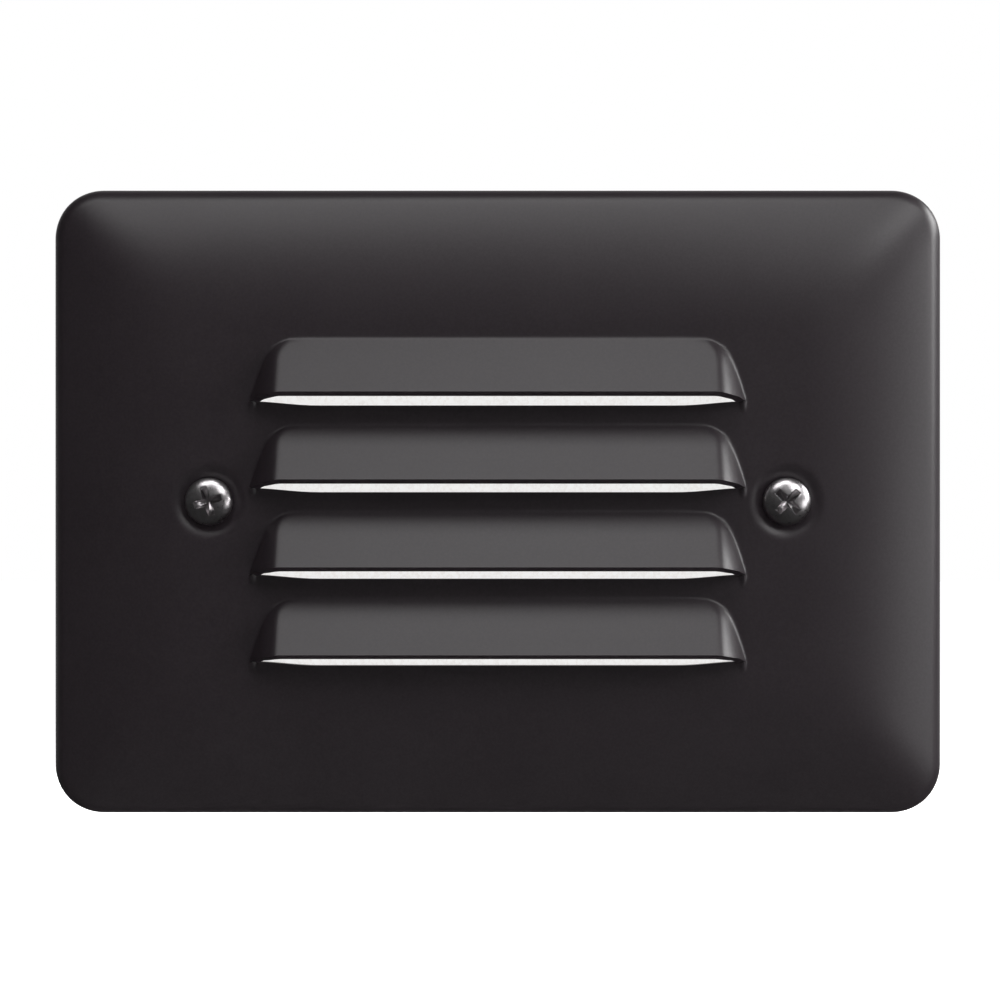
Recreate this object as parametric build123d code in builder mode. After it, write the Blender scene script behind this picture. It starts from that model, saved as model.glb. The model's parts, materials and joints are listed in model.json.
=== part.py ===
"""Recessed step light: louvred face plate, lens pack, cast housing, wedge lamp and wiring.

The wall is the XZ plane at Y = 0. The front faces -Y, +X is to the right and +Z is up.
The origin is the centre of the face plate's rim, on the wall. Sizes are millimetres.
"""
from build123d import *
import os
from math import cos, radians, sin, sqrt, tan

os.makedirs("parts", exist_ok=True)

# ---- Fits and clearances ----
running_fit = 0.05  # radial, shaft in hole on different bodies
assembly_gap = 0.3  # between pieces that come apart
screw_hole_clearance = 0.25  # radial, screw through a plate
entry_clearance = 0.1  # radial, gland or plug in its entry

# ---- Face plate: pressed sheet ----
plate_overlap_x = 9.0  # past the housing at each end
plate_overlap_z = 8.7
plate_corner_radius = 7.2
plate_sheet = 1.2
rim_height = 2.6
dome_rise = 6.4
dome_slope_width = 18.5
dome_steps = 4
plateau = rim_height + dome_rise  # front of the flat middle, ahead of the wall

# ---- Louvres ----
louvre_count = 4
louvre_pitch = 12.5
hood_height = 8.5
hood_corner_radius = 3.2  # of a hood's face
hood_proud = 5.0
hood_end_draft = 45.0  # from square to a hood's face
slot_middle_gap = 1.3
slot_end_gap = 0.85
slot_corner_radius = 0.7
lip_overlap = 0.1  # the slot's cut reaches this far up into the hood

# ---- Face screws, number 6-32 ----
face_screw_spacing = 83.34
face_screw_radius = 1.75
face_screw_length = 15.9
face_head_radius = 3.43
face_head_height = 2.1
left_cross_turn = 17.0
right_cross_turn = 45.0
head_side_share = 0.3  # of a pan head's height that is straight
cross_reach_share = 0.62
cross_width_share = 0.24
cross_depth_share = 0.6
cross_draft = 12.0
dimple_radius = 5.0
dimple_depth = 0.9
dimple_draft = 35.0
screw_seal_radius = 3.1
screw_seal_thickness = 0.5

# ---- Lens pack ----
lens_screw_gap = 1.42  # from the lens's end to a face screw
lens_sight_x = 1.1  # from the slots' ends to the gasket's window
lens_sight_z = 0.65
lens_thickness = 3.0
lens_corner_radius = 4.0
lens_edge = 0.4
lens_gasket_thickness = 1.2
lens_gasket_land = 3.2
retainer_sheet = 0.8
retainer_land = 4.0
retainer_flange = 6.0
retainer_corner_radius = 5.0
stud_radius = 1.5
stud_spacing_x = 56.0
nut_across_flats = 5.5
nut_thickness = 1.6
stud_stand_out = 0.3

# ---- Housing: casting ----
screw_end_distance = 14.33  # from a face screw to the housing's end
retainer_gap = 1.1  # from the retainer to the housing's side
housing_depth = 50.0
housing_wall = 2.4
housing_corner_radius = 8.0
housing_draft = 1.5
housing_back_radius = 3.0
screw_boss_radius = 4.5
screw_boss_lead_gap = 2.4  # from a boss's end to the lead behind it
screw_boss_recess = 1.0
screw_boss_web = 4.0
housing_gasket_gap = 0.57  # from the foam gasket to the inside of the plate
fixing_spacing_x = 36.0
fixing_side_distance = 6.6
fixing_hole_radius = 2.3
fixing_pad_radius = 5.0
fixing_pad_height = 1.2

# ---- Cable entries in the housing's bottom wall ----
entry_end_distance = 18.0  # from the housing's end to an entry's axis
entry_back_distance = 14.6
entry_radius = 6.0
entry_pad_radius = 10.5
entry_pad_outside = 0.6
entry_pad_inside = 1.4

# ---- Lamp: wedge base ----
lamp_to_reflector = 15.0
lamp_radius = 7.95
lamp_length = 36.8
lamp_glass_wall = 0.8
lamp_neck_radius = 5.2
lamp_neck_length = 3.0
lamp_shoulder_slope = 1.6  # along the axis, for each millimetre outwards
wedge_length = 8.0
wedge_width = 9.5
wedge_thickness = 2.1
wedge_insertion = 7.6
pinch_wire_radius = 0.3
support_spread = 3.2
support_length = 10.5
filament_radius = 0.55
contact_wire_thickness = 0.3
contact_wire_width = 1.0
contact_wire_length = 5.5

# ---- Lampholder and its bracket ----
holder_length = 14.0
holder_depth = 14.0
holder_width = 17.0
holder_corner_radius = 2.0
holder_slot_clearance = 0.35
holder_slot_depth = 9.0
contact_strip = 0.4
contact_width = 3.0
contact_setback = 1.0
bracket_sheet = 1.2
bracket_boss_gap = 0.57  # from the left screw boss to the bracket's upright
bracket_width = 26.0
bracket_foot = 12.0
bracket_bend_radius = 2.0
bracket_top_margin = 1.5
bracket_corner_radius = 3.0
bracket_window_width = 5.0
bracket_window_length = 8.0
bracket_post_height = 4.4
rivet_radius = 1.2
rivet_length = 5.0
rivet_head_radius = 2.1
rivet_head_height = 0.8
rivet_spacing = 11.0

# ---- Reflector: folded sheet trough ----
reflector_sheet = 0.6
reflector_setback = 5.5  # from the lens's end to the trough's
reflector_mouth_y = 6.0
reflector_mouth_half = 24.0
reflector_knee_depth = 7.0
reflector_knee_half = 19.0
reflector_back_half = 8.0
reflector_post_height = 10.0
reflector_bend_radius = 4.0
reflector_screw_spacing = 40.0

# ---- Small pan-head screws inside ----
small_screw_radius = 1.4
small_screw_length = 6.0
small_head_radius = 2.6
small_head_height = 1.5
post_radius = 3.6
bracket_screw_spacing = 16.0

# ---- Terminal block ----
block_end_gap = 0.65
block_pitch = 10.0
block_side_wall = 1.2
block_height = 18.0
block_depth = 11.0
block_edge_radius = 1.0
block_pad_radius = 4.5
block_pad_height = 1.6
block_tube_depth = 5.5  # from the block's front to the tubes' axis
block_entry_radius = 1.6
block_well_radius = 2.7
block_screw_below = 8.0
block_screw_length = 5.4
tube_outer_radius = 2.2
tube_bore_radius = 1.45
tube_length = 14.0
clamp_screw_radius = 1.3
clamp_end_distance = 2.6  # from a tube's end to a clamping screw
clamp_well_radius = 1.9
clamp_screw_below = 0.6
clamp_slot_width = 0.6
clamp_slot_depth = 0.7

# ---- Leads and their clip ----
arc_share = 0.45  # of the shorter run, taken by a lead's arc
lead_radius = 1.0
lead_strip_in = 3.0  # how far a lead reaches into the block's tube
clip_x = 1.0
clip_z = 15.3
clip_width = 6.0
clip_wall = 0.9
clip_gap = 0.1
clip_pad_width = 12.0
clip_lead_pitch = 2.4

# ---- Cable gland ----
gland_collar_flats = 15.0
gland_collar_height = 3.2
gland_stub_length = 5.0
gland_bore_radius = 4.4
gland_washer_radius = 8.6
gland_washer_thickness = 1.0
locknut_flats = 15.5
locknut_height = 3.0
gland_inner_stub = 5.0
bush_bore_radius = 3.3
bush_length = 6.0
bush_flange_height = 0.8
bush_flange_radius = 5.6
cap_radius = 7.8
cap_end_wall = 1.2
cap_mouth_radius = 3.9
cap_collar_gap = 0.5
cap_edge = 0.9
cap_grip_count = 12
cap_grip_radius = 1.2
cap_grip_depth = 0.5

# ---- Closure plug ----
plug_head_radius = 8.0
plug_head_height = 2.2
plug_head_edge = 0.6
plug_length = 7.5
plug_slot_width = 1.4
plug_slot_depth = 1.1
plug_hollow_radius = 4.2


def front(depth):
    """The drawing plane that lies this far in front of the wall (behind it if negative)."""
    return Plane.XZ.offset(depth)


def lathe_plane(seat, out):
    """The plane of a turned piece's half profile: its Y runs along the axis, outwards."""
    across = Vector(1, 0, 0) if abs(out.X) < 0.5 else Vector(0, 1, 0)
    return Plane(seat, x_dir=across, z_dir=across.cross(out))


def pan_head_screw(seat, out, head_radius, head_height, shank_radius, length, cross_turn=0):
    """A pan-head screw with a cross recess; its head sits on the seat and faces outwards."""
    cross_reach = cross_reach_share * head_radius
    cross_width = cross_width_share * head_radius
    cross_depth = cross_depth_share * head_height
    with BuildPart() as screw:
        with BuildSketch(lathe_plane(seat, out)):
            with BuildLine():
                side = Polyline(
                    (0, head_height),
                    (0, -length),
                    (shank_radius, -length),
                    (shank_radius, 0),
                    (head_radius, 0),
                    (head_radius, head_side_share * head_height),
                )
                TangentArc(side @ 0, side @ 1, tangent=(1, 0))
            make_face()
        revolve(axis=Axis(seat, out))
        crown = Plane(seat + out * head_height, x_dir=lathe_plane(seat, out).x_dir, z_dir=out)
        with BuildSketch(crown):
            Rectangle(2 * cross_reach, cross_width, rotation=cross_turn)
            Rectangle(cross_width, 2 * cross_reach, rotation=cross_turn)
        extrude(amount=-cross_depth, taper=cross_draft, mode=Mode.SUBTRACT)
    return screw.part


def dome(width, height, corner_radius, rim, rise):
    """A rounded slab on the wall whose front swells from its rim to a flat middle."""
    with BuildPart() as swelling:
        with BuildSketch(front(0)):
            RectangleRounded(width, height, corner_radius)
        extrude(amount=rim)
        for step in range(dome_steps + 1):
            turn = radians(90 * step / dome_steps)
            inset = dome_slope_width * (1 - cos(turn))
            with BuildSketch(front(rim + rise * sin(turn))):
                RectangleRounded(width - 2 * inset, height - 2 * inset, corner_radius)
        loft()
    return swelling.part


def hood(ramp, half_width, top, corner_radius):
    """A louvre hood over the XY plane: its face on the ramp, its sides drafted to the plate."""
    with BuildPart() as blister:
        with BuildSketch(ramp.shift_origin(ramp.from_local_coords((0, top, 0)))):
            RectangleRounded(
                2 * half_width, 3 * hood_height, corner_radius, align=(Align.CENTER, Align.MAX)
            )
        extrude(amount=-hood_proud - plate_sheet, taper=-hood_end_draft)
        split(bisect_by=Plane.XY, keep=Keep.TOP)
    return blister.part


# ---- Places worked out from the sizes above ----
face_screw_x = face_screw_spacing / 2
housing_width = face_screw_spacing + 2 * screw_end_distance
plate_width = housing_width + 2 * plate_overlap_x
lens_width = face_screw_spacing - 2 * (face_screw_radius + lens_screw_gap)
slot_half_width = lens_width / 2 - lens_gasket_land - lens_sight_x
hood_half_width = slot_half_width + plate_sheet / cos(radians(hood_end_draft))
head_seat = plateau - dimple_depth + screw_seal_thickness
louvre_group_height = louvre_pitch * (louvre_count - 1) + hood_height + slot_middle_gap
top_lip = louvre_group_height / 2 - hood_height
louvre_lips = [top_lip - row * louvre_pitch for row in range(louvre_count)]
lens_height = louvre_group_height + 2 * (lens_gasket_land + lens_sight_z)
housing_height = lens_height + 2 * (retainer_flange + retainer_gap + housing_wall)
plate_height = housing_height + 2 * plate_overlap_z
plate_back = plateau - plate_sheet
dome_inside_run = (min(plate_overlap_x, plate_overlap_z) - plate_sheet) / dome_slope_width
dome_inside_rise = dome_rise * sqrt(1 - (1 - dome_inside_run) ** 2)
housing_gasket_thickness = rim_height - plate_sheet + dome_inside_rise - housing_gasket_gap
lens_front = plate_back - lens_gasket_thickness
lens_back = lens_front - lens_thickness
retainer_back = lens_back - retainer_sheet
stud_spacing_z = lens_height + retainer_flange
stud_tip = retainer_back - nut_thickness - stud_stand_out
inner_width = housing_width - 2 * housing_wall
inner_height = housing_height - 2 * housing_wall
inner_depth = housing_depth - housing_wall
fixing_pad_front = inner_depth - fixing_pad_height
fixing_spacing_z = inner_height - 2 * fixing_side_distance
reflector_length = lens_width - 2 * reflector_setback
reflector_back_y = inner_depth - reflector_post_height - reflector_sheet
reflector_knee_y = reflector_back_y - reflector_knee_depth
lamp_y = reflector_back_y - lamp_to_reflector
bracket_x = screw_boss_radius + bracket_boss_gap - face_screw_x
holder_back = bracket_x + bracket_sheet
holder_front = holder_back + holder_length
wedge_tip = holder_front - wedge_insertion
bulb_start = wedge_tip + wedge_length
entry_x = housing_width / 2 - entry_end_distance
entry_y = inner_depth - entry_back_distance
entry_outside = -housing_height / 2 - entry_pad_outside
entry_inside = -inner_height / 2 + entry_pad_inside
foot_front = inner_depth - bracket_post_height - bracket_sheet
foot_x = bracket_x + bracket_sheet - bracket_foot / 2 - bracket_bend_radius / 2
block_back = inner_depth - block_pad_height
block_front = block_back - block_depth
tube_y = block_front + block_tube_depth
clamp_screw_z = tube_length / 2 - clamp_end_distance
block_width = block_pitch + 2 * tube_outer_radius + 2 * block_side_wall
inner_back_half_width = inner_width / 2 - inner_depth * tan(radians(housing_draft))
block_x = inner_back_half_width - block_end_gap - block_width / 2
poles = (block_x - block_pitch / 2, block_x + block_pitch / 2)
wire_face = wedge_thickness / 2 + contact_wire_thickness
contact_offset = wire_face + running_fit + contact_strip / 2
screw_boss_end = lamp_y - contact_offset - lead_radius - screw_boss_lead_gap
screw_boss_length = screw_boss_end - screw_boss_recess

# ---- Face plate ----
ramp_face = Plane((0, -plateau, hood_height), x_dir=(1, 0, 0), z_dir=(0, -hood_height, hood_proud))
ramp_length = sqrt(hood_height**2 + hood_proud**2)
hood_fan = hood_proud * tan(radians(hood_end_draft)) * hood_height / ramp_length
face_half_width = hood_half_width - hood_fan
end_mitre = plate_sheet * tan(radians(45 - hood_end_draft / 2))
top_mitre = plate_sheet * (ramp_length - hood_height) / hood_proud
hood_outside = hood(ramp_face, face_half_width, 0, hood_corner_radius)
hood_inside = hood(
    ramp_face.offset(-plate_sheet),
    face_half_width - end_mitre,
    top_mitre,
    hood_corner_radius - end_mitre,
)

with BuildPart() as face_plate:
    add(dome(plate_width, plate_height, plate_corner_radius, rim_height, dome_rise))
    with Locations(*[(0, 0, lip) for lip in louvre_lips]):
        add(hood_outside)
    add(
        dome(
            plate_width - 2 * plate_sheet,
            plate_height - 2 * plate_sheet,
            plate_corner_radius - plate_sheet,
            rim_height - plate_sheet,
            dome_rise,
        ),
        mode=Mode.SUBTRACT,
    )
    with Locations(*[(0, 0, lip) for lip in louvre_lips]):
        add(hood_inside, mode=Mode.SUBTRACT)
    for lip in louvre_lips:
        with BuildSketch(front(plateau).shift_origin((0, -plateau, lip))) as slot:
            with BuildLine():
                ThreePointArc(
                    (-slot_half_width, -slot_end_gap),
                    (0, -slot_middle_gap),
                    (slot_half_width, -slot_end_gap),
                )
                Polyline(
                    (slot_half_width, -slot_end_gap),
                    (slot_half_width, lip_overlap),
                    (-slot_half_width, lip_overlap),
                    (-slot_half_width, -slot_end_gap),
                )
            make_face()
            fillet(slot.vertices().group_by(Axis.Y)[0], slot_corner_radius)
        extrude(amount=-plate_sheet, mode=Mode.SUBTRACT)
    # the pressed dimples under the screw heads
    with BuildSketch(front(plate_back)):
        with Locations((-face_screw_x, 0), (face_screw_x, 0)):
            Circle(dimple_radius)
    extrude(amount=-dimple_depth, taper=dimple_draft)
    with BuildSketch(front(plateau)):
        with Locations((-face_screw_x, 0), (face_screw_x, 0)):
            Circle(dimple_radius)
    extrude(amount=-dimple_depth, taper=dimple_draft, mode=Mode.SUBTRACT)
    with BuildSketch(front(plateau)):
        with Locations((-face_screw_x, 0), (face_screw_x, 0)):
            Circle(face_screw_radius + screw_hole_clearance)
    extrude(amount=-plateau, mode=Mode.SUBTRACT)
    # the welded studs of the lens pack
    with BuildSketch(front(stud_tip)):
        with GridLocations(stud_spacing_x, stud_spacing_z, 2, 2):
            Circle(stud_radius)
    extrude(amount=plate_back - stud_tip + plate_sheet / 2)

face_plate.part.label = "face_plate"
export_step(face_plate.part, "parts/face_plate.step")

# ---- Face screws and their seals ----
for side, screw_x, cross_turn in (
    ("left", -face_screw_x, left_cross_turn),
    ("right", face_screw_x, right_cross_turn),
):
    with BuildPart() as face_screw:
        add(
            pan_head_screw(
                Vector(screw_x, -head_seat, 0),
                Vector(0, -1, 0),
                face_head_radius,
                face_head_height,
                face_screw_radius,
                face_screw_length,
                cross_turn,
            )
        )
    face_screw.part.label = side + "_screw"
    export_step(face_screw.part, "parts/" + side + "_screw.step")
    with BuildPart() as screw_seal:
        with BuildSketch(front(head_seat)):
            with Locations((screw_x, 0)):
                Circle(screw_seal_radius)
                Circle(face_screw_radius + running_fit, mode=Mode.SUBTRACT)
        extrude(amount=-screw_seal_thickness)
    screw_seal.part.label = side + "_screw_seal"
    export_step(screw_seal.part, "parts/" + side + "_screw_seal.step")

# ---- Lens pack on the back of the face plate ----
with BuildPart() as lens_gasket:
    with BuildSketch(front(lens_front)):
        RectangleRounded(lens_width, lens_height, lens_corner_radius)
        RectangleRounded(
            lens_width - 2 * lens_gasket_land,
            lens_height - 2 * lens_gasket_land,
            lens_corner_radius - lens_gasket_land / 2,
            mode=Mode.SUBTRACT,
        )
        with Locations((-face_screw_x, 0), (face_screw_x, 0)):
            Circle(dimple_radius + assembly_gap, mode=Mode.SUBTRACT)
    extrude(amount=lens_gasket_thickness)
lens_gasket.part.label = "lens_gasket"
export_step(lens_gasket.part, "parts/lens_gasket.step")

with BuildPart() as lens:
    with BuildSketch(front(lens_back)):
        RectangleRounded(lens_width, lens_height, lens_corner_radius)
    extrude(amount=lens_thickness)
    chamfer(lens.edges().group_by(Axis.Y)[0] + lens.edges().group_by(Axis.Y)[-1], lens_edge)
lens.part.label = "lens"
export_step(lens.part, "parts/lens.step")

with BuildPart() as lens_retainer:
    with BuildSketch(front(retainer_back)):
        RectangleRounded(
            lens_width, lens_height + 2 * retainer_flange, retainer_corner_radius
        )
        RectangleRounded(
            lens_width - 2 * retainer_land,
            lens_height - 2 * retainer_land,
            lens_corner_radius,
            mode=Mode.SUBTRACT,
        )
        with GridLocations(stud_spacing_x, stud_spacing_z, 2, 2):
            Circle(stud_radius + screw_hole_clearance, mode=Mode.SUBTRACT)
    extrude(amount=retainer_sheet)
lens_retainer.part.label = "lens_retainer"
export_step(lens_retainer.part, "parts/lens_retainer.step")

with BuildPart() as retainer_nuts:
    with BuildSketch(front(retainer_back - nut_thickness)):
        with GridLocations(stud_spacing_x, stud_spacing_z, 2, 2):
            RegularPolygon(nut_across_flats / 2, 6, major_radius=False)
            Circle(stud_radius, mode=Mode.SUBTRACT)
    extrude(amount=nut_thickness)
retainer_nuts.part.label = "retainer_nuts"
export_step(retainer_nuts.part, "parts/retainer_nuts.step")

# ---- Housing ----
with BuildPart() as housing:
    with BuildSketch(front(0)):
        RectangleRounded(housing_width, housing_height, housing_corner_radius)
    extrude(amount=-housing_depth, taper=housing_draft)
    fillet(housing.edges().group_by(Axis.Y)[-1], housing_back_radius)
    # flat pads outside and inside the bottom wall, for the two entries
    with BuildSketch(Plane.XY.offset(entry_outside)):
        with Locations((-entry_x, entry_y), (entry_x, entry_y)):
            Circle(entry_pad_radius)
    extrude(amount=entry_inside - entry_outside)
    with BuildSketch(front(0)):
        RectangleRounded(inner_width, inner_height, housing_corner_radius - housing_wall)
    extrude(amount=-inner_depth, taper=housing_draft, mode=Mode.SUBTRACT)
    with BuildSketch(Plane.XY.offset(-inner_height / 2 - housing_wall / 2)):
        with Locations((-entry_x, entry_y), (entry_x, entry_y)):
            Circle(entry_pad_radius)
    extrude(amount=housing_wall / 2 + entry_pad_inside)
    # bosses for the face screws, webbed to the end walls
    with BuildSketch(front(-screw_boss_recess)):
        with Locations((-face_screw_x, 0), (face_screw_x, 0)):
            Circle(screw_boss_radius)
        web_reach = (housing_width - housing_wall) / 2 - face_screw_x
        for end in (-1, 1):
            with Locations((end * (face_screw_x + web_reach / 2), 0)):
                Rectangle(web_reach, screw_boss_web)
    extrude(amount=-screw_boss_length)
    # posts for the reflector and pads for the wall fixings
    with BuildSketch(front(-reflector_back_y - reflector_sheet)):
        with GridLocations(reflector_screw_spacing, 0, 2, 1):
            Circle(post_radius)
    extrude(amount=-reflector_post_height)
    with BuildSketch(front(-foot_front - bracket_sheet)):
        with Locations((foot_x, 0)):
            with GridLocations(0, bracket_screw_spacing, 1, 2):
                Circle(post_radius)
    extrude(amount=-bracket_post_height)
    with BuildSketch(front(-block_back)):
        with Locations((block_x, 0)):
            Circle(block_pad_radius)
    extrude(amount=-block_pad_height)
    with BuildSketch(front(-fixing_pad_front)):
        with GridLocations(fixing_spacing_x, fixing_spacing_z, 2, 2):
            Circle(fixing_pad_radius)
    extrude(amount=-fixing_pad_height)
    # holes
    with BuildSketch(front(-screw_boss_recess)):
        with Locations((-face_screw_x, 0), (face_screw_x, 0)):
            Circle(face_screw_radius + running_fit)
    extrude(amount=-screw_boss_length, mode=Mode.SUBTRACT)
    with BuildSketch(front(-fixing_pad_front)):
        with GridLocations(fixing_spacing_x, fixing_spacing_z, 2, 2):
            Circle(fixing_hole_radius)
    extrude(amount=-(housing_depth - fixing_pad_front), mode=Mode.SUBTRACT)
    with BuildSketch(front(-reflector_back_y - reflector_sheet)):
        with GridLocations(reflector_screw_spacing, 0, 2, 1):
            Circle(small_screw_radius)
    extrude(amount=-small_screw_length, mode=Mode.SUBTRACT)
    with BuildSketch(front(-foot_front - bracket_sheet)):
        with Locations((foot_x, 0)):
            with GridLocations(0, bracket_screw_spacing, 1, 2):
                Circle(small_screw_radius)
    extrude(amount=bracket_sheet - small_screw_length, mode=Mode.SUBTRACT)
    with BuildSketch(front(-block_back)):
        with Locations((block_x, 0)):
            Circle(small_screw_radius)
    extrude(amount=-(block_front + block_screw_below + block_screw_length - block_back), mode=Mode.SUBTRACT)
    with BuildSketch(Plane.XY.offset(entry_outside)):
        with Locations((-entry_x, entry_y), (entry_x, entry_y)):
            Circle(entry_radius + entry_clearance)
    extrude(amount=entry_inside - entry_outside, mode=Mode.SUBTRACT)
housing.part.label = "housing"
export_step(housing.part, "parts/housing.step")

with BuildPart() as housing_gasket:
    with BuildSketch(front(0)):
        RectangleRounded(housing_width, housing_height, housing_corner_radius)
        RectangleRounded(
            inner_width, inner_height, housing_corner_radius - housing_wall, mode=Mode.SUBTRACT
        )
    extrude(amount=housing_gasket_thickness)
housing_gasket.part.label = "housing_gasket"
export_step(housing_gasket.part, "parts/housing_gasket.step")

# ---- Reflector ----
with BuildPart() as reflector:
    with BuildSketch(Plane.YZ):
        with BuildLine():
            FilletPolyline(
                (reflector_mouth_y, reflector_mouth_half),
                (reflector_knee_y, reflector_knee_half),
                (reflector_back_y, reflector_back_half),
                (reflector_back_y, -reflector_back_half),
                (reflector_knee_y, -reflector_knee_half),
                (reflector_mouth_y, -reflector_mouth_half),
                radius=reflector_bend_radius,
            )
            offset(amount=reflector_sheet, side=Side.LEFT)
        make_face()
    extrude(amount=reflector_length / 2, both=True)
    with BuildSketch(front(-reflector_back_y)):
        with GridLocations(reflector_screw_spacing, 0, 2, 1):
            Circle(small_screw_radius + screw_hole_clearance)
    extrude(amount=-reflector_sheet, mode=Mode.SUBTRACT)
reflector.part.label = "reflector"
export_step(reflector.part, "parts/reflector.step")


def small_screws(seats, length):
    """Small pan-head screws that face the front, one on each seat."""
    with BuildPart() as screws:
        for seat in seats:
            add(
                pan_head_screw(
                    Vector(*seat),
                    Vector(0, -1, 0),
                    small_head_radius,
                    small_head_height,
                    small_screw_radius,
                    length,
                )
            )
    return screws


reflector_screws = small_screws(
    [(side * reflector_screw_spacing / 2, reflector_back_y, 0) for side in (-1, 1)],
    small_screw_length,
)
reflector_screws.part.label = "reflector_screws"
export_step(reflector_screws.part, "parts/reflector_screws.step")

# ---- Lampholder, its contacts and bracket ----
holder_plane = Plane.YZ.offset(holder_back).shift_origin((holder_back, lamp_y, 0))
with BuildPart() as lampholder:
    with BuildSketch(holder_plane):
        RectangleRounded(holder_depth, holder_width, holder_corner_radius)
    extrude(amount=holder_length)
    with BuildSketch(holder_plane.offset(holder_length)):
        Rectangle(
            2 * contact_offset + contact_strip, wedge_width + 2 * holder_slot_clearance
        )
    extrude(amount=-holder_slot_depth, mode=Mode.SUBTRACT)
    with BuildSketch(holder_plane):
        with GridLocations(2 * contact_offset, 0, 2, 1):
            Rectangle(contact_strip, contact_width)
        with GridLocations(0, rivet_spacing, 1, 2):
            Circle(rivet_radius)
    extrude(amount=rivet_length - bracket_sheet, mode=Mode.SUBTRACT)
    with BuildSketch(holder_plane):
        with GridLocations(2 * contact_offset, 0, 2, 1):
            Rectangle(contact_strip, contact_width)
    extrude(amount=holder_length - holder_slot_depth, mode=Mode.SUBTRACT)
lampholder.part.label = "lampholder"
export_step(lampholder.part, "parts/lampholder.step")

with BuildPart() as lampholder_contacts:
    with BuildSketch(holder_plane):
        with GridLocations(2 * contact_offset, 0, 2, 1):
            Rectangle(contact_strip, contact_width)
    extrude(amount=holder_length - contact_setback)
lampholder_contacts.part.label = "lampholder_contacts"
export_step(lampholder_contacts.part, "parts/lampholder_contacts.step")

bracket_front = lamp_y - holder_depth / 2 - bracket_top_margin
with BuildPart() as lampholder_bracket:
    with BuildSketch(Plane.XY.offset(-bracket_width / 2)):
        with BuildLine():
            FilletPolyline(
                (holder_back, bracket_front),
                (holder_back, foot_front + bracket_sheet),
                (holder_back - bracket_foot - bracket_bend_radius, foot_front + bracket_sheet),
                radius=bracket_bend_radius,
            )
            offset(amount=bracket_sheet, side=Side.LEFT)
        make_face()
    extrude(amount=bracket_width)
    fillet(lampholder_bracket.edges().filter_by(Axis.X).group_by(Axis.Y)[0], bracket_corner_radius)
    with BuildSketch(holder_plane):
        Rectangle(bracket_window_length, bracket_window_width)
        with GridLocations(0, rivet_spacing, 1, 2):
            Circle(rivet_radius)
    extrude(amount=-bracket_sheet, mode=Mode.SUBTRACT)
    with BuildSketch(front(-foot_front)):
        with Locations((foot_x, 0)):
            with GridLocations(0, bracket_screw_spacing, 1, 2):
                Circle(small_screw_radius + screw_hole_clearance)
    extrude(amount=-bracket_sheet, mode=Mode.SUBTRACT)
lampholder_bracket.part.label = "lampholder_bracket"
export_step(lampholder_bracket.part, "parts/lampholder_bracket.step")

with BuildPart() as lampholder_rivets:
    with BuildSketch(holder_plane.offset(-bracket_sheet)):
        with GridLocations(0, rivet_spacing, 1, 2):
            Circle(rivet_radius)
    extrude(amount=rivet_length)
    with BuildSketch(holder_plane.offset(-bracket_sheet)):
        with GridLocations(0, rivet_spacing, 1, 2):
            Circle(rivet_head_radius)
    extrude(amount=-rivet_head_height)
    heads = lampholder_rivets.faces().group_by(Axis.X)[0].edges()
    chamfer(heads, rivet_head_height / 2)
lampholder_rivets.part.label = "lampholder_rivets"
export_step(lampholder_rivets.part, "parts/lampholder_rivets.step")

bracket_screws = small_screws(
    [(foot_x, foot_front, side * bracket_screw_spacing / 2) for side in (-1, 1)],
    small_screw_length,
)
bracket_screws.part.label = "bracket_screws"
export_step(bracket_screws.part, "parts/bracket_screws.step")

# ---- Lamp ----
bulb_length = lamp_length - wedge_length
bulb_seat = Vector(bulb_start, lamp_y, 0)
bulb_shoulder = lamp_neck_length + lamp_shoulder_slope * (lamp_radius - lamp_neck_radius)
wedge_plane = Plane.YZ.offset(wedge_tip).shift_origin((wedge_tip, lamp_y, 0))
with BuildPart() as lamp_glass:
    for shrink, how in ((0, Mode.ADD), (lamp_glass_wall, Mode.SUBTRACT)):
        with BuildSketch(lathe_plane(bulb_seat, Vector(1, 0, 0))):
            with BuildLine():
                base = Polyline(
                    (0, bulb_length - shrink),
                    (0, shrink),
                    (lamp_neck_radius - shrink, shrink),
                    (lamp_neck_radius - shrink, lamp_neck_length),
                    (lamp_radius - shrink, bulb_shoulder),
                    (lamp_radius - shrink, bulb_length - lamp_radius),
                )
                TangentArc(base @ 1, base @ 0, tangent=(0, 1))
            make_face()
        revolve(axis=Axis(bulb_seat, (1, 0, 0)), mode=how)
    with BuildSketch(wedge_plane):
        Rectangle(wedge_thickness, wedge_width)
    extrude(amount=wedge_length)
lamp_glass.part.label = "lamp_glass"
export_step(lamp_glass.part, "parts/lamp_glass.step")

support_base = bulb_start + lamp_glass_wall
with BuildPart() as lamp_supports:
    with BuildSketch(Plane.YZ.offset(support_base).shift_origin((support_base, lamp_y, 0))):
        with GridLocations(0, 2 * support_spread, 1, 2):
            Circle(pinch_wire_radius)
    extrude(amount=support_length)
lamp_supports.part.label = "lamp_supports"
export_step(lamp_supports.part, "parts/lamp_supports.step")

filament_half = support_spread - pinch_wire_radius
with BuildPart() as lamp_filament:
    with BuildSketch(Plane.XY.offset(-filament_half)):
        with Locations((support_base + support_length - filament_radius, lamp_y)):
            Circle(filament_radius)
    extrude(amount=2 * filament_half)
lamp_filament.part.label = "lamp_filament"
export_step(lamp_filament.part, "parts/lamp_filament.step")

with BuildPart() as lamp_contact_wires:
    with BuildSketch(wedge_plane):
        with GridLocations(wedge_thickness + contact_wire_thickness, 0, 2, 1):
            Rectangle(contact_wire_thickness, contact_wire_width)
    extrude(amount=contact_wire_length)
lamp_contact_wires.part.label = "lamp_contact_wires"
export_step(lamp_contact_wires.part, "parts/lamp_contact_wires.step")

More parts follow.
